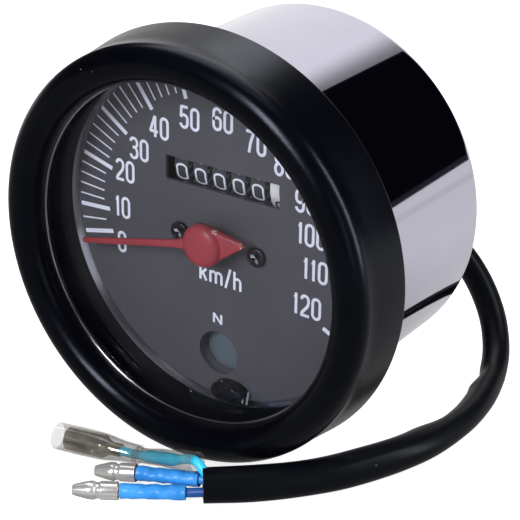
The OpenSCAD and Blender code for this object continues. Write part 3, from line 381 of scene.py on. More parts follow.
def tube(path, radius, sides, inner=None, back=6):  # rings square to the path; inner folds the far end back into a wall
    tangent = np.gradient(path, axis=0)
    tangent /= np.linalg.norm(tangent, axis=1)[:, None]
    u = np.cross(tangent, (0, 0, 1))
    u /= np.linalg.norm(u, axis=1)[:, None]
    v = np.cross(u, tangent)
    a = np.linspace(0, tau, sides, endpoint=False)[None, :]
    r = radius(np.linspace(0, 1, len(path))[:, None], a)
    row, last = np.arange(len(path)), len(path) - 1
    scale = np.ones(len(path))
    if inner:
        row = np.concatenate([[0], row, [last] * 3, np.arange(last, last + 1 - back, -1), [last + 1 - back]])
        scale = np.concatenate([[0], scale, [0.97, inner + 0.03, inner], np.full(back - 1, inner), [0]])
    else:
        row = np.concatenate([[0], row, [last]])
        scale = np.concatenate([[0], scale, [0]])
    r = r[row] * scale[:, None]
    aside, up = (r * np.cos(a))[..., None], (r * np.sin(a))[..., None]
    grid = path[row][:, None] + aside * u[row][:, None] + up * v[row][:, None]
    return gridPart(grid, False, True)


def sheathRadius(s, a):  # slimmer on the far loop, swollen where the bend has folded it, flattened on the inner side
    base = sheath["slim"] + (sheath["radius"] - sheath["slim"]) * smooth(s, 0.58, 0.72)
    inside = np.maximum(0, np.cos(a))
    folds = sum(high * hump(s, spot, wide) for spot, high, wide in sheath["folds"])
    return base + folds * inside ** 2 + 0.05 * np.sin(40 * s + 2 * a) * smooth(s, 0.3, 0.5)


sheathPath = curveThrough(sheath["route"], 260)
sheathPiece = piece("wiringSheath", [tube(sheathPath, sheathRadius, 40, 1 - sheath["wall"] / sheath["radius"], 14)],
                    "sheathVinyl", stands=["wiring_sheath"], sharp=50)


def leadRadius(swell):  # 1 mm with a faint twist, thicker by swell in the clear sleeve's neck
    neck = lambda s: smooth(s, 0.64, 0.69) * (1 - smooth(s, 0.82, 0.85))
    return lambda s, a: 1.0 + swell * neck(s) + 0.02 * np.sin(3 * a + 30 * s)


leadPieces = {}
for key, spec in leads.items():
    spec["path"] = curveThrough(spec["route"], 90)
    leadPieces[key] = piece("lead." + key, [tube(spec["path"], leadRadius(spec.get("swell", 0)), 20)],
                            spec["paint"], stands=["lead_" + key])
print("cords made")


# connectors on the leads, in mm
bullets = {"upper": {"ends": [[-1, -67.2, -43.8], [-9.5, -70.8, -44.4]], "turn": 0.4},
           "lower": {"ends": [[-0.5, -73.8, -44.5], [-8.8, -79, -44.5]], "turn": 1.5}, "r": 1.95, "wall": 0.14}
boots = {"upper": {"ends": [[12.2, -63.4, -42.6], [-1, -67.2, -43.8]],
                   "dents": [(3.4, 0.2), (6.6, 0.26), (10.2, 0.26)]},
         "lower": {"ends": [[11, -66.6, -44.5], [-0.5, -73.8, -44.5]], "dents": [(4.4, 0.26), (8.6, 0.24)]},
         "r": 1.6, "wall": 0.4}
clearTube = {"neck": [[11.7, -63.4, -38.7], [-4.4, -62.2, -43.2]], "body": [[-4.4, -62.2, -43.2], [-24, -65.8, -43.4]],
             "r": 2.95, "neckR": 1.8, "collarR": 2.25, "film": 0.2}
femaleSpec = {"r": 2.45, "bore": 2.0, "length": 9.4, "inset": 2.6, "crimp": 4.4, "neck": 1.4,
              "dent": {"deep": 0.95, "from": 2.3, "long": 0.75, "turn": 3.1, "wide": 0.34}}


def bulletParts(spec):
    length = axisFrame(spec["ends"])[1]
    r, w = bullets["r"], bullets["wall"]
    shell = rounded([[0, -3.4], [1.1, -3.4], [1.1, 1.6], [r - w, 1.9], [r - w, 0.3], [r, 0.3], [r, length * 0.4],
                     [r - 0.28, length * 0.43], [r - 0.28, length * 0.5], [r, length * 0.53], [r, length * 0.64],
                     [r * 0.58, length - 0.15], [r * 0.52, length], [0, length]],
                    [0, 0.1, 0.1, 0.1, 0.08, 0.12, 0.2, 0.12, 0.12, 0.2, 0.9, 0.2, 0.15, 0])

    def pressed(r, along, t):  # rolled seam along one side and shallow flats from the crimp jaws
        s = along / length
        seam = 0.10 * hump((t - spec["turn"] + np.pi) % tau - np.pi, 0, 0.09)
        seam = seam * smooth(along, 0.3, 0.6) * (1 - smooth(s, 0.7, 0.9))
        flats = 0.05 * np.cos(3 * t + spec["turn"]) * smooth(s, 0.52, 0.7) * (1 - smooth(s, 0.85, 1.0))
        return r - np.where(r > 0.6, seam + flats, 0)

    return [turned(spec["ends"], shell, 72, pressed)]


def bootParts(spec):
    length = axisFrame(spec["ends"])[1]
    r, w = boots["r"], boots["wall"]
    along = np.linspace(0.12, length - 0.12, 90)
    outer = np.stack([np.full(90, r), along], -1)
    mouth = [[r - w, 0.06], [r - 0.12, 0.0], [r - 0.03, 0.04]]
    heel = [[r - 0.03, length - 0.04], [r - 0.12, length], [r - w, length - 0.06]]
    loop = np.concatenate([mouth, outer, heel, [[r - w, length - 2], [r - w, length / 2], [r - w, 2]]])

    def crimped(r, s, t):  # each crimp presses two sides in and pushes the other two out
        press = sum(depth * hump(s, spot, 0.95) for spot, depth in spec["dents"])
        wave = 0.035 * np.sin(2.1 * s + t) + 0.025 * np.sin(3.7 * s - 2 * t)
        return np.where(r > boots["r"] - 0.2, r + press * np.cos(2 * t) - 0.35 * press + wave, r)

    return [turned(spec["ends"], loop, 56, crimped)]


def clearParts():
    length = axisFrame(clearTube["body"])[1]
    r, neck, film = clearTube["r"], clearTube["neckR"], clearTube["film"]
    s = np.linspace(0, length, 70)
    swell = neck + 0.25 + (r - neck - 0.25) * smooth(s, 0.5, 9.5)
    wide = np.concatenate([np.stack([swell, s], -1), np.stack([swell - film, s], -1)[::-1]])
    sag = lambda q, along, t: q + 0.05 * np.sin(2 * t + 0.4 * along) + 0.12 * hump(along, 5, 2.5) * np.cos(2 * t + 0.8)
    nLen = axisFrame(clearTube["neck"])[1]
    n = np.linspace(0, nLen + 0.8, 60)
    taper = neck + (clearTube["collarR"] - neck) * (1 - smooth(n, 0.5, 9.0))
    narrow = np.concatenate([np.stack([taper, n], -1), np.stack([taper - film, n], -1)[::-1]])
    foldAndFoldShade = lambda q, along, t: (q + 0.16 * np.cos(2 * t - 0.35 * along) * smooth(along, 0, 4)
                                + 0.05 * np.sin(3 * t + along))
    return [turned(clearTube["body"], wide, 72, sag), turned(clearTube["neck"], narrow, 64, foldAndFoldShade)]


def femaleParts():
    length = axisFrame(clearTube["body"])[1]
    rear = length - femaleSpec["inset"] - femaleSpec["length"]
    r, bore = femaleSpec["r"], femaleSpec["bore"]
    mouth = length - femaleSpec["inset"]
    barrel = np.stack([np.full(48, r), np.linspace(rear + 0.9, mouth - 0.4, 48)], -1)
    wire, neck = femaleSpec["crimp"], femaleSpec["neck"]
    crimp = [[0, wire], [neck, wire], [neck, rear - 1.2], [1.75, rear - 0.4], [r, rear + 0.5]]
    crimp = rounded(np.concatenate([crimp, barrel[:1]]), [0, 0.2, 0.4, 0.4, 0.4, 0], 6)[:-6]
    lip = np.concatenate([barrel[-1:], [[r, mouth], [bore, mouth], [bore, rear + 1.2], [0, rear + 1.2]]])
    lip = rounded(lip, [0, 0.18, 0.1, 0.2, 0], 6)[6:]
    shell = np.concatenate([crimp, barrel, lip])
    hole = femaleSpec["dent"]

    def dent(q, along, t):  # the round hole in the barrel's side, as a dent
        push = hole["deep"] * hump(along, rear + hole["from"], hole["long"]) * hump(t, hole["turn"], hole["wide"])
        return q - np.where(q > r - 0.05, push, 0)

    return [turned(clearTube["body"], shell, 80, dent)]


pair = ("upper", "lower")
bulletPieces = {k: piece("bullet." + k, bulletParts(bullets[k]), "tinPlate", stands=["bullet_" + k])
                for k in pair}
bootPieces = {k: piece("boot." + k, bootParts(boots[k]), "blueVinyl", stands=["boot_" + k])
              for k in pair}
clearPiece = piece("clearSleeve", clearParts(), "clearVinyl", stands=["clear_sleeve"])
femalePiece = piece("femaleBullet", femaleParts(), "dullNickel", stands=["socket"])


def cordOf(obj, path, exitPoint, diameter, **facts):
    length = float(np.linalg.norm(np.diff(path, axis=0), axis=1).sum()) * mm
    (path[::3] * mm).tolist() + [(path[-1] * mm).tolist()]


cordOf(sheathPiece, sheathPath, sheath["route"][0], 0.0075, far_end="bare", stiffness="medium")
carried = {k: [bootPieces[k], bulletPieces[k]] for k in pair}
carried["clear"] = [clearPiece, femalePiece]
for key, held in carried.items():
    cordOf(leadPieces[key], leads[key]["path"], sheath["route"][-1], 0.002, far_end="connector", stiffness="limp",
           with_pieces=held)
print("connectors made")


# cup, window and bezel are turned about the dial's axis; depths in mm run from the rear face to the front
cup = {"r": 40.0, "wall": 0.8, "front": 46.9, "flangeR": 40.9, "flangeT": 1.2, "corner": 2.0}
ring = {"lip": 37.05, "front": 51.35, "in": 41.05, "out": 41.65, "rear": 45.05, "foldAndFoldShade": 40.1, "t": 0.6}
pane = {"back": 48.7, "front": 50.7, "r": 40.45}
sleeve = {"in": 38.5, "out": 39.0, "back": 39.35, "front": 48.65}
foot = {"in": 37.5, "out": 38.55, "back": 39.36, "front": 40.9}
rubber = {"beadR": 4.0, "beadAt": (41.2, 52.6), "seat": 51.45, "inner": 41.7, "grip": 40.15, "step": 45.0, "rear": 41.2,
          "flare": [[46.0, 41.2], [46.35, 41.55], [45.25, 50.4]]}

shoulder, bore = cup["front"] - cup["flangeT"], cup["r"] - cup["wall"]
cupLoop = rounded([[0, 0], [cup["r"], 0], [cup["r"], shoulder], [cup["flangeR"], shoulder],
                   [cup["flangeR"], cup["front"]], [bore, cup["front"]], [bore, cup["wall"]], [0, cup["wall"]]],
                  [0, cup["corner"], 0.3, 0.3, 0.3, 0.2, 0.6, 0], 10)
piece("cup", [lathe(cupLoop, 360)], "chrome", stands=["case"], sharp=60)

under, over = ring["front"] - ring["t"], ring["rear"] + ring["t"]
ringLoop = rounded([[ring["lip"], under], [ring["in"], under], [ring["in"], over], [ring["foldAndFoldShade"], over],
                    [ring["foldAndFoldShade"], ring["rear"]], [ring["out"], ring["rear"]], [ring["out"], ring["front"]],
                    [ring["lip"], ring["front"]]], [0.25, 0.2, 0.2, 0.2, 0.2, 0.3, 0.5, 0.28], 6)
piece("retainingRing", [lathe(ringLoop, 320)], "nickel", stands=["retaining_ring"], sharp=60)

glassLoop = rounded([[0, pane["back"]], [pane["r"], pane["back"]], [pane["r"], pane["front"]], [0, pane["front"]]],
                    [0, 0.3, 0.3, 0], 5)
piece("glassPane", [lathe(glassLoop, 240)], "glass", stands=["glass"])

sleeveLoop = rounded([[sleeve["in"], sleeve["back"]], [sleeve["out"], sleeve["back"]], [sleeve["out"], sleeve["front"]],
                      [sleeve["in"], sleeve["front"]]], 0.15, 4)
piece("innerSleeve", [lathe(sleeveLoop, 320)], "sleeveBlack", stands=["inner_sleeve"], sharp=60)
# bright foot where the sleeve meets the dial
footLoop = rounded([[foot["in"], foot["back"]], [foot["out"], foot["back"]], [foot["out"], foot["front"]]], 0.08, 4)
piece("innerSleeve.foot", [lathe(footLoop, 240)], "footMetal")

seatTurn = math.degrees(math.asin((rubber["seat"] - rubber["beadAt"][1]) / rubber["beadR"]))
bead = arc(*rubber["beadAt"], rubber["beadR"], -5, 180 - seatTurn, 70)
gripRear = [rubber["grip"], rubber["rear"]]
skirt = rounded(np.concatenate([[gripRear], rubber["flare"], bead[:1]]), [0.2, 0.3, 0.3, 1.4, 0], 8)[:-8]
inside = rounded([[bead[-1, 0], rubber["seat"]], [rubber["inner"], rubber["seat"]], [rubber["inner"], rubber["step"]],
                  [rubber["grip"], rubber["step"]], gripRear], [0, 0.3, 0.3, 0.2, 0], 4)[4:-4]
piece("bezelRubber", [lathe(np.concatenate([skirt, bead, inside]), 360)], "bezelRubber", stands=["rubber_bezel"],
      sharp=50)
print("cup and bezel made")


# screws, hood and lens on the dial
dialFace = 39.3
airGap = 0.05  # under a screw head or the hood
heads = {"dial": {"at": [(-9.9, -1.3), (9.8, -2.1)], "r": 2.125, "h": 1.1, "arm": 0.55, "reach": 1.6, "turn": 48},
         "frame": {"at": [(-14, -12), (-14, 15), (15, 15)], "r": 3.0, "h": 1.75, "arm": 0.45, "reach": 1.9, "turn": 30}}


# height over the head: a low dome less a four armed recess; way is -1 towards the front
def crossHead(spec, at, base, way):
    rho = np.concatenate([np.linspace(0, 0.92, 60), [0.955, 0.98, 0.995, 1.0, 1.0]])[None, :]
    level = np.concatenate([np.ones(60), [0.985, 0.95, 0.88, 0.75, 0.0]])[None, :]
    t = np.linspace(0, tau, 144, endpoint=False)[:, None]
    x, z = spec["r"] * rho * np.cos(t), spec["r"] * rho * np.sin(t)
    c, s = math.cos(math.radians(spec["turn"])), math.sin(math.radians(spec["turn"]))
    p, q = np.abs(c * x + s * z), np.abs(c * z - s * x)
    arm = lambda m, n: np.clip(1 - m / spec["arm"], 0, 1) * np.clip(2.5 * (1 - n / spec["reach"]), 0, 1)
    dome = spec["h"] * level * (1 - 0.22 * rho ** 2)
    up = dome - 0.72 * spec["arm"] * np.maximum(arm(p, q), arm(q, p))
    return gridPart(np.stack([at[0] + x, base + way * up, at[1] + z], -1), True, False)


piece("dialScrews", [crossHead(heads["dial"], at, -dialFace - airGap, -1) for at in heads["dial"]["at"]], "screwBlack",
      stands=["dial_screws"], sharp=45)
piece("frameScrews", [crossHead(heads["frame"], at, airGap, 1) for at in heads["frame"]["at"]], "zinc",
      stands=["frame_screws"], sharp=45)

hood = {"outline": [[-1.3, -36.9], [-1.3, -34.7], [1.0, -33.2], [5.4, -33.2], [7.7, -34.7], [7.7, -35.8], [5.5, -37.0],
                    [1.0, -37.6]], "corner": 1.3, "rise": 3.0}
hoodOutline = rounded(hood["outline"], hood["corner"], 12)
middle = hoodOutline.mean(0)
hoodInset = np.array([1, 1, 0.995, 0.97, 0.92, 0.85, 0.74, 0.45, 0.0])[:, None, None]
hoodLevel = np.array([0, 0.02, 0.45, 0.64, 0.79, 0.90, 0.97, 1.03, 1.0])[:, None] * hood["rise"]
hoodFlat = middle + (hoodOutline - middle)[None] * hoodInset
hoodX, hoodZ = hoodFlat[..., 0], hoodFlat[..., 1]
ripple = 0.12 * np.sin(1.7 * hoodX) * (hoodLevel > 2)  # the moulding is uneven on top
hoodGrid = np.stack([hoodX, -dialFace - airGap - hoodLevel - ripple, hoodZ], -1)
piece("lampHood", [gridPart(hoodGrid, False, True)], "plasticBlack", stands=["lamp_hood"])

clips = {"x": (6.6, 7.7), "lean": 0.9, "foot": (-dialFace - 0.4, -34.6), "tip": (-dialFace - 2.6, -36.9),
         "loop": [[0, 0], [0.22, 0], [0.22, 2.9], [0, 2.9]]}
tabs = [turned([[x, *clips["foot"]], [x + clips["lean"], *clips["tip"]]], rounded(clips["loop"], [0, 0.1, 0.1, 0]), 16)
        for x in clips["x"]]
piece("hoodClips", tabs, "tinPlate")

lamp = {"at": (-0.5, -27.7), "tubeIn": 5.3, "tubeOut": 6.1, "tubeEnds": (16.85, 38.45), "lensR": 5.25, "lensBack": 35.5,
        "lensEdge": 35.7, "crown": 0.4}
near, far = lamp["tubeEnds"]
tubeLoop = rounded([[lamp["tubeIn"], near], [lamp["tubeOut"], near], [lamp["tubeOut"], far], [lamp["tubeIn"], far]],
                   0.2, 4)
piece("lightTube", [lathe(tubeLoop, 96, lamp["at"])], "tubeGrey", stands=["light_tube"])
crown = np.linspace(0.1, np.pi / 2, 24)  # the lens bulges a little towards the dial
crown = np.stack([lamp["lensR"] * np.cos(crown), lamp["lensEdge"] + lamp["crown"] * np.sin(crown)], -1)
lensBack = [[0, lamp["lensBack"]], [lamp["lensR"], lamp["lensBack"]], [lamp["lensR"], lamp["lensEdge"]]]
lensLoop = np.concatenate([lensBack, crown])
piece("neutralLens", [lathe(lensLoop, 96, lamp["at"])], "lens", stands=["neutral_lens"])


# pointer: a tapered rounded bar with a domed hub, drawn at the zero mark
needle = {"angle": 193.0, "hubR": 4.7, "rear": 43.9, "wallTop": 45.3, "hubTop": 47.05}


def bar(xs, halves, backs, fronts, sides=24):  # squarish section whose width and depth change along the pointer
    t = np.linspace(0, tau, sides, endpoint=False)[None, :]
    c, s = np.cos(t), np.sin(t)
    square = lambda q: np.sign(q) * np.abs(q) ** 0.45
    mid, half = (np.array(fronts) + np.array(backs)) / 2, (np.array(fronts) - np.array(backs)) / 2
    across, depth = np.array(halves)[:, None] * square(c), mid[:, None] + half[:, None] * square(s)
    a = math.radians(needle["angle"])
    along = np.array(xs)[:, None] + 0 * t
    x, z = along * math.cos(a) - across * math.sin(a), along * math.sin(a) + across * math.cos(a)
    return gridPart(np.stack([x, -depth, z], -1), False, True)


blade = bar([2.0, 2.0, 4.4, 5.6, 7.2, 9.0, 20.0, 33.5, 33.7, 33.7], [0, 2.1, 1.7, 1.25, 0.98, 0.84, 0.74, 0.62, 0.5, 0],
            [needle["rear"]] * 10, [44.75] * 6 + [44.72, 44.68, 44.6, 44.6])
tail = bar([-2.0, -2.0, -3.6, -9.9, -10.1, -10.1], [0, 3.9, 3.3, 0.55, 0.36, 0], [43.2, 43.2, 43.3, 43.9, 44.0, 44.0],
           [45.6, 45.6, 45.5, 44.9, 44.8, 44.8])
quarter = np.linspace(0, np.pi / 2, 40)
bulge = needle["hubTop"] - needle["wallTop"]
dome = np.stack([needle["hubR"] * np.cos(quarter) ** 0.55, needle["wallTop"] + bulge * np.sin(quarter) ** 1.1], -1)
rear, chamfer = needle["rear"], 0.2
hubLoop = np.concatenate([[[0, rear], [needle["hubR"] - chamfer, rear], [needle["hubR"], rear + chamfer]], dome])
piece("needle", [blade, tail, lathe(hubLoop, 128)], "needleRed", "needle", ["pointer"], sharp=50)


# printing: flat strokes of even width along simple centre lines
def bow(cx, cy, rx, ry, first, last, steps=14):
    t = np.radians(np.linspace(first, last, steps))
    return np.stack([cx + rx * np.cos(t), cy + ry * np.sin(t)], -1)


def line(*points):
    return np.array(points, float)


join = lambda *runs: np.concatenate(runs)
k = 0.21  # height of a figure's rounded end
glyphs = {
    "0": [join(bow(0.5, 1 - k, 0.5, k, 180, 0), bow(0.5, k, 0.5, k, 0, -180), line([0, 1 - k]))],
    "1": [line([0.62, 0], [0.62, 1]), line([0.62, 0.97], [0.5, 0.86], [0.2, 0.80])],
    "2": [join(bow(0.5, 1 - k, 0.5, k, 170, 0), line([1, 0.68], [0.86, 0.50], [0.12, 0.14], [0.02, 0.0])),
          line([-0.02, 0], [1.04, 0])],
    "3": [join(bow(0.5, 1 - k, 0.5, k, 165, 0), bow(0.5, 0.72, 0.5, 0.18, 0, -90), line([0.38, 0.54])),
          join(line([0.38, 0.54]), bow(0.5, 0.30, 0.5, 0.24, 90, 0), bow(0.5, k, 0.5, k, 0, -165))],
    "4": [line([0.66, 1], [0.0, 0.27]), line([-0.04, 0.26], [1.06, 0.26]), line([0.72, 0], [0.72, 1])],
    "5": [line([0.98, 1], [0.12, 1]), line([0.13, 1.0], [0.06, 0.50]),
          join(bow(0.5, 0.42, 0.5, 0.19, 155, 0), bow(0.5, k, 0.5, k, 0, -165))],
    "6": [join(bow(0.5, 1 - k, 0.5, k, 15, 180), bow(0.5, k, 0.5, k, 180, 360), bow(0.5, 0.40, 0.5, 0.18, 0, 165))],
    "7": [line([-0.02, 1], [1.04, 1]), line([1.0, 1.0], [0.55, 0.45], [0.36, 0.0])],
    "8": [bow(0.5, 0.77, 0.44, 0.23, -90, 270, 28), bow(0.5, 0.27, 0.5, 0.27, 90, 450, 28)],
    "9": [join(bow(0.5, k, 0.5, k, 195, 360), bow(0.5, 1 - k, 0.5, k, 0, 180), bow(0.5, 0.60, 0.5, 0.18, 180, 345))],
    "k": [line([0, 0], [0, 1]), line([0.95, 0.64], [0.04, 0.28]), line([0.36, 0.42], [1.0, 0])],
    "m": [line([0, 0], [0, 0.64]), join(line([0, 0.40]), bow(0.25, 0.46, 0.25, 0.18, 170, 0), line([0.5, 0])),
          join(line([0.5, 0.40]), bow(0.75, 0.46, 0.25, 0.18, 170, 0), line([1.0, 0]))],
    "/": [line([0, -0.06], [1, 1.06])],
    "h": [line([0, 0], [0, 1]), join(line([0, 0.40]), bow(0.5, 0.44, 0.5, 0.20, 165, 0), line([1.0, 0]))],
    "N": [line([0, 0], [0, 1]), line([0.02, 1], [0.98, 0]), line([1, 0], [1, 1])],
}
breadth = {"1": 0.62, "m": 1.55, "/": 0.8, "k": 0.95, "h": 0.95}  # against a round figure


def ribbon(path, width, ends=True):  # left and right of the centre line by half the width
    step = np.gradient(path, axis=0)
    step /= np.maximum(np.linalg.norm(step, axis=1), 1e-9)[:, None]
    side = np.stack([-step[:, 1], step[:, 0]], -1) * width / 2
    grown = path.copy()
    if ends:
        grown[0] -= step[0] * width * 0.18
        grown[-1] += step[-1] * width * 0.18
    return np.stack([grown - side, grown + side], 1)


def strokes(text, height, wide, gap, stroke):  # flat ribbons of a word in mm, centred on 0, 0
    out, pen = [], 0.0
    for letter in text:
        w = breadth.get(letter, 1.0) * wide
        for run in glyphs[letter]:
            centre = run * [w - stroke, height - stroke] + [pen + stroke / 2, stroke / 2]
            if np.allclose(run[0], run[-1]):
                out.append(ribbon(np.concatenate([centre[-2:-1], centre, centre[1:2]]), stroke, False)[1:-1])
            else:
                out.append(ribbon(centre, stroke))
        pen += w + gap
    return [r - [(pen - gap) / 2, height / 2] for r in out]


printing = {"turn": math.radians(-1.0), "x": 0.2, "z": 0.35, "lift": 0.03, "step": 0.002}  # it sits a little turned


def onDial(ribbons, x, z):  # onto the dial's face, facing forward
    c, s = math.cos(printing["turn"]), math.sin(printing["turn"])
    placed = [r + [x, z] for r in ribbons]
    parts = []
    for n, r in enumerate(placed):  # crossing strokes lie at slightly different heights
        level = np.full(r.shape[:2], -dialFace - printing["lift"] - printing["step"] * (n % 5))
        parts.append(gridPart(np.stack([c * r[..., 0] - s * r[..., 1] + printing["x"], level,
                                        s * r[..., 0] + c * r[..., 1] + printing["z"]], -1)))
    return parts


scale = {"zero": 193.97, "ten": 184.02, "perKm": 1.924, "outer": 37.5, "major": (29.5, 0.95), "minor": (30.9, 0.36)}


def kmAngle(v):  # degrees on the dial; the first ten are packed closer
    if v < 10:
        return scale["zero"] + (scale["ten"] - scale["zero"]) * v / 10
    return scale["ten"] - (v - 10) * scale["perKm"]


def tick(v, inner, width):
    a = math.radians(kmAngle(v))
    way = np.array([math.cos(a), math.sin(a)])
    return ribbon(np.linspace(way * inner, way * scale["outer"], 4), width, False)


between = [5] + [v for v in range(10, 120, 2) if v % 10]
ticks = [tick(v, *scale["major"]) for v in range(0, 121, 10)] + [tick(v, *scale["minor"]) for v in between]
numbers = {"0": (-26.2, -9.0), "10": (-25.9, -0.65), "20": (-25.0, 8.05), "30": (-21.1, 13.95), "40": (-15.7, 20.2),
           "50": (-7.8, 24.1), "60": (0.6, 25.6), "70": (8.8, 22.7), "80": (15.9, 19.6), "90": (21.1, 13.05),
           "100": (22.7, 6.1), "110": (23.8, -1.4), "120": (22.05, -9.95)}
figure = {"height": 5.15, "wide": 2.4, "gap": 0.36, "stroke": 0.66}
unitFigure = {"height": 4.6, "wide": 2.25, "gap": 0.47, "stroke": 0.6}
lampFigure = {"height": 2.65, "wide": 2.5, "gap": 0, "stroke": 0.55}
inkParts = onDial(ticks, 0, 0)
for text, at in numbers.items():
    inkParts += onDial(strokes(text, *figure.values()), *at)
inkParts += onDial(strokes("km/h", *unitFigure.values()), 0.2, -9.55)
inkParts += onDial(strokes("N", *lampFigure.values()), -0.45, -19.85)
piece("dialPrint", inkParts, "whiteInk", closed=False)

drums = {"names": ["tenths", "units", "tens", "hundreds", "thousands", "ten_thousands"], "pitch": 4.87, "r": 7.6,
         "axis": (-29.2, 12.5), "middle": 0.8, "tenthsShift": 0.5, "height": 4.0, "wide": 2.95, "stroke": 0.46,
         "turn": -12.3, "tenthsTurn": -33.0}


def onDrum(ribbons, x, place):  # bends the strokes round the drum, number by number, the next one above
    turn = math.radians(36 * place + drums["tenthsTurn" if x > 10 else "turn"])  # the tenths stand between two figures
    r = drums["r"] + 0.02
    y, z = drums["axis"]
    bent = lambda b, a: np.stack([b[..., 0] + x, y - r * np.cos(a), z + r * np.sin(a)], -1)
    return [gridPart(bent(b, b[..., 1] / r + turn)) for b in ribbons]


def finer(ribbons):  # more points along every stroke, so that it bends with the drum
    t = np.linspace(0, 1, 6, endpoint=False)[None, :, None, None]
    return [np.concatenate([(r[:-1, None] * (1 - t) + r[1:, None] * t).reshape(-1, 2, 2), r[-1:]]) for r in ribbons]


for n, name in enumerate(drums["names"]):
    ink, slot = ("blackInk", "black_drum") if n == 0 else ("whiteInk", "white_drum")
    x = drums["middle"] + (2.5 - n) * drums["pitch"] + (drums["tenthsShift"] if n == 0 else 0)
    parts = []
    for place in range(10):
        parts += onDrum(finer(strokes(str(place), drums["height"], drums["wide"], 0, drums["stroke"])), x, place)
    piece("drumFigures." + name, parts, ink, "drum_" + name + "_body", closed=False)
print("dial and pointer made")


# boss, studs and grommet on the rear face
boss = {"r": 6.0, "rear": 11.0, "flangeR": 8.0, "flange": (0.05, 1.55), "hex": 7.55, "bore": 4.2, "boreEnd": 7.0,
        "bush": 3.5, "front": -0.8}
rearAxis = [[0, 0, 0], [0, 1, 0]]
threadForm = (1.0, 0.5)  # pitch and depth
near, far = boss["flange"]
bossFlange = rounded([[boss["bush"], boss["front"]], [boss["r"], boss["front"]], [boss["r"], near],
                      [boss["flangeR"], near], [boss["flangeR"], far], [boss["r"], far]],
                     [0.1, 0.1, 0.1, 0.2, 0.4, 0.2], 5)
bossBarrel = np.stack([np.full(150, boss["r"]), np.linspace(far + 0.25, boss["rear"] - 0.4, 150)], -1)
bossBore = rounded([[boss["r"] - 0.25, boss["rear"]], [boss["bore"], boss["rear"]], [boss["bore"], boss["boreEnd"]],
                    [boss["bush"], boss["boreEnd"]]], [0.2, 0.3, 0.1, 0.1], 5)
bossLoop = np.concatenate([bossFlange, bossBarrel, bossBore])


def bossShape(r, s, t):  # six flats on the flange, a thread on the barrel
    flats = np.minimum(r, boss["hex"] / np.cos((t % (tau / 6)) - tau / 12))
    onBarrel = (np.abs(r - boss["r"]) < 0.1) & (s > 1.6)
    return np.where(r > 7.0, flats, np.where(onBarrel, threaded(r, s, t, 2.2, 10.8, *threadForm), r))


piece("cableBoss", [turned(rearAxis, bossLoop, 120, bossShape)], "nickel", stands=["cable_boss"],
      sharp=35)

stud = {"at": [-22.0, 22.0], "r": 3.0, "len": 14.0, "neckR": 3.4, "headR": 4.8, "head": (-5.3, -2.9)}
near, far = stud["head"]
studHead = rounded([[0, near], [stud["headR"], near], [stud["headR"], far], [stud["neckR"], far], [stud["neckR"], 0.0],
                    [stud["r"], 0.0]], [0, 0.4, 0.2, 0.1, 0.1, 0], 4)
studBarrel = np.stack([np.full(220, stud["r"]), np.linspace(0.3, stud["len"] - 0.5, 220)], -1)
studLoop = np.concatenate([studHead, studBarrel, [[stud["r"] - 0.5, stud["len"]], [0, stud["len"]]]])
studThread = lambda r, s, t: np.where((r > 2.9) & (s > 0.2), threaded(r, s, t, 0.6, 13.9, *threadForm), r)
piece("rearStuds", [turned([[x, 0, 0], [x, 1, 0]], studLoop, 72, studThread) for x in stud["at"]], "zinc",
      stands=["rear_studs"], sharp=35)

grommetLoop = rounded([[3.15, 2.4], [6.4, 2.4], [6.4, 0.85], [5.4, 0.85], [5.4, -0.05], [6.4, -0.05], [6.2, -1.9],
                       [4.6, -3.0], [3.15, -3.0]], [0.3, 0.5, 0.2, 0.2, 0.2, 0.5, 0.9, 0.6, 0.4], 6)
piece("wiringGrommet", [lathe(grommetLoop, 120, (14, -12))], "rubberMatt", stands=["wiring_grommet"])
print("rear made")


# finishes of the solids that stay
wear = {"rubberMatt": ["glass_gasket", "neutral_holder", "dial_lamp_holder"], "dialPaint": ["dial"],
        "bulbGlass": ["neutral_bulb", "dial_bulb"],
        "steel": ["spindle", "pillars", "bridge_screws", "dial_posts", "drive_shaft", "field_cup", "upright_shaft",
                  "cross_shaft", "odometer_axle", "pinion_axle"],
        "aluminium": ["drag_cup"], "bronze": ["hairspring", "spindle_bush", "drive_bush"], "dieCast": ["base_plate"],
        "magnetIron": ["magnet"], "brass": ["bridge_plate"],
        "blackBrass": ["odometer_bracket_left", "odometer_bracket_right"],
        "drumWhite": ["drum_tenths"] + ["carry_pinion_%d" % n for n in range(1, 6)],
        "drumBlack": ["drum_" + name for name in drums["names"][1:]]}
for paint, names in wear.items():
    for name in names:
        if len(nodes[name].material_slots) == 0:
            nodes[name].data.materials.append(paints[paint])
        for held in nodes[name].material_slots:
            held.material = paints[paint]


# floor, cards, lamps and world
floorSpec = {"z": -46.5, "half": 2500.0, "glow": 0.8, "tone": 0.62}


def card(name, points, faces, material):
    mesh = bpy.data.meshes.new(name)
    mesh.from_pydata((np.array(points, float) * mm).tolist(), [], faces)
    mesh.materials.append(material)
    obj = bpy.data.objects.new(name, mesh)
    scene.collection.objects.link(obj)
    return obj


def lightRays(s):
    glossy = s.node("LightPath", out="Is Glossy Ray")
    seen = s.node("LightPath", out="Is Camera Ray") | s.node("LightPath", out="Is Transmission Ray")
    return glossy, seen
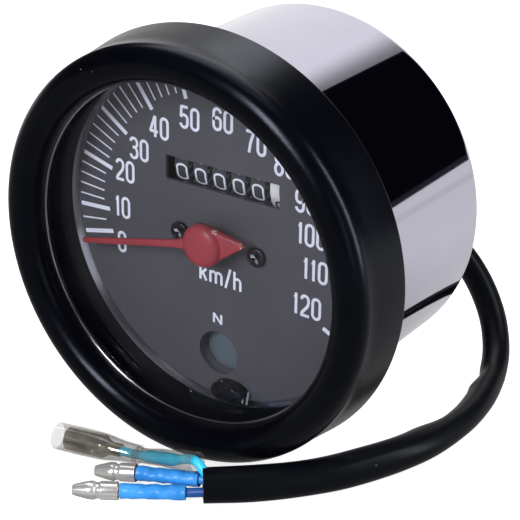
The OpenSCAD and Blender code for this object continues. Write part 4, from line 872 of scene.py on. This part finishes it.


# the floor is lit, white to the eye; to metal it shows painted light and shade: pale behind the dial, darker in front
# as if in the object's shadow, lighter to the left behind, with a darker band further back
floorPaint, s = newTree("floorWhite")
glossy, seen = lightRays(s)
at = s.node("TexCoord", out="Object")
deep = s.node("SeparateXYZ", {}, {0: at}, 1)  # metres behind the dial's axis
# painted shade: a darker band across what metal sees, about 0.3 to 0.5 m behind the dial
foldAndFoldShade = (deep.ramp(0.27, 0.34) * (1 - deep.ramp(0.36, 0.50))) * 0.10
aside = s.node("SeparateXYZ", {}, {0: at}, 0)
# painted light and shade: darker in front of the dial, paler behind it, and lighter to the left behind
mirror = (0.22 + 0.56 * deep.ramp(-0.10, 0.10)) - foldAndFoldShade + 0.24 * (1 - aside.ramp(-0.10, 0.03)) * deep.ramp(-0.10, 0.10)
matt = s.node("BsdfDiffuse", {}, {"Color": rgb(*[floorSpec["tone"]] * 3)})
glow = s.node("Emission", {}, {"Color": rgb(1, 1, 1), "Strength": floorSpec["glow"] * seen})
lit = s.node("AddShader", {}, {0: matt, 1: glow})
pale = s.node("Emission", {}, {"Color": rgb(1, 1, 1), "Strength": mirror})
s.node("OutputMaterial", {}, {"Surface": s.node("MixShader", {}, {0: glossy, 1: lit, 2: pale})})
h, z = floorSpec["half"], floorSpec["z"]
card("floor", [(-h, -h, z), (h, -h, z), (h, h, z), (-h, h, z)], [(0, 1, 2, 3)], floorPaint)

# dark cards that only reflections see, as in the photo's studio
darkPaint, s = newTree("cardDark")
at = s.node("TexCoord", out="Object")
over = s.node("SeparateXYZ", {}, {0: at}, 0)
dark = s.node("Emission", {}, {"Color": rgb(0.002, 0.002, 0.004), "Strength": 1.0})
gap = s.node("BsdfTransparent", {}, {"Color": rgb(1, 1, 1)})
cover = (0.74 * over.ramp(-0.15, 0.058) ** 1.3) | over.ramp(0.053, 0.058)
s.node("OutputMaterial", {}, {"Surface": s.node("MixShader", {}, {0: cover, 1: gap, 2: dark})})
roomPaint, s = newTree("roomDark")
shade = s.node("Emission", {}, {"Color": rgb(0.02, 0.02, 0.026), "Strength": 1.0})
s.node("OutputMaterial", {}, {"Surface": shade})


def glossyOnly(obj):
    obj.visible_camera = obj.visible_diffuse = obj.visible_shadow = obj.visible_transmission = False
    return obj


backCard = {"y": 700.0, "left": -120.0, "right": 1500.0, "low": 18.0, "high": 1600.0}
left, right, low, high = (backCard[side] for side in ("left", "right", "low", "high"))
corners = [(x, backCard["y"], z) for x, z in [(left, low), (right, low), (right, high), (left, high)]]
glossyOnly(card("backCard", corners, [(0, 1, 2, 3)], darkPaint))
# dark part of the studio; degrees round from straight ahead of the dial, and up
room = {"radius": 1700.0, "around": (-131.0, 150.0), "up": (-1.5, 72.0)}
around, up = (np.radians(np.linspace(*room[way], count)) for way, count in (("around", 60), ("up", 20)))
a, e = np.meshgrid(around, up, indexing="ij")
roomGrid = room["radius"] * np.stack([np.sin(a) * np.cos(e), -np.cos(a) * np.cos(e), np.sin(e)], -1)
glossyOnly(card("darkRoom", roomGrid.reshape(-1, 3), quads(60, 20, False, False).tolist(), roomPaint))

lampAim, lampTone = (0, -0.04, 0), (0.91, 0.94, 1.0)
lamps = {"front": {"place": (0.045, -0.82, 0.44), "size": (0.17, 0.36), "power": 5.2},
         "right": {"place": (0.69, 0.19, 0.24), "size": (0.10, 0.72), "power": 3.8},
         "side": {"place": (0.72, -0.40, 0.14), "size": (0.26, 0.40), "power": 0.3},
         "top": {"place": (-0.30, 0.30, 0.80), "size": (0.7, 0.7), "power": 4.0}}
for name, spec in lamps.items():
    data = bpy.data.lights.new(name, "AREA")
    data.shape, data.size, data.size_y, data.energy = "RECTANGLE", *spec["size"], spec["power"]
    data.color = lampTone
    aimed(bpy.data.objects.new("lamp." + name, data), spec["place"], lampAim)

world = bpy.data.worlds.new("studio")
world.use_nodes = True
world.node_tree.nodes.clear()
s = Shade(world.node_tree)
glossy, seen = lightRays(s)
sky = s.node("Background", {}, {"Color": rgb(1, 1, 1), "Strength": 0.62 + 0.38 * (glossy | seen)})
s.node("OutputWorld", {}, {"Surface": sky})
scene.world = world

print("scene made")
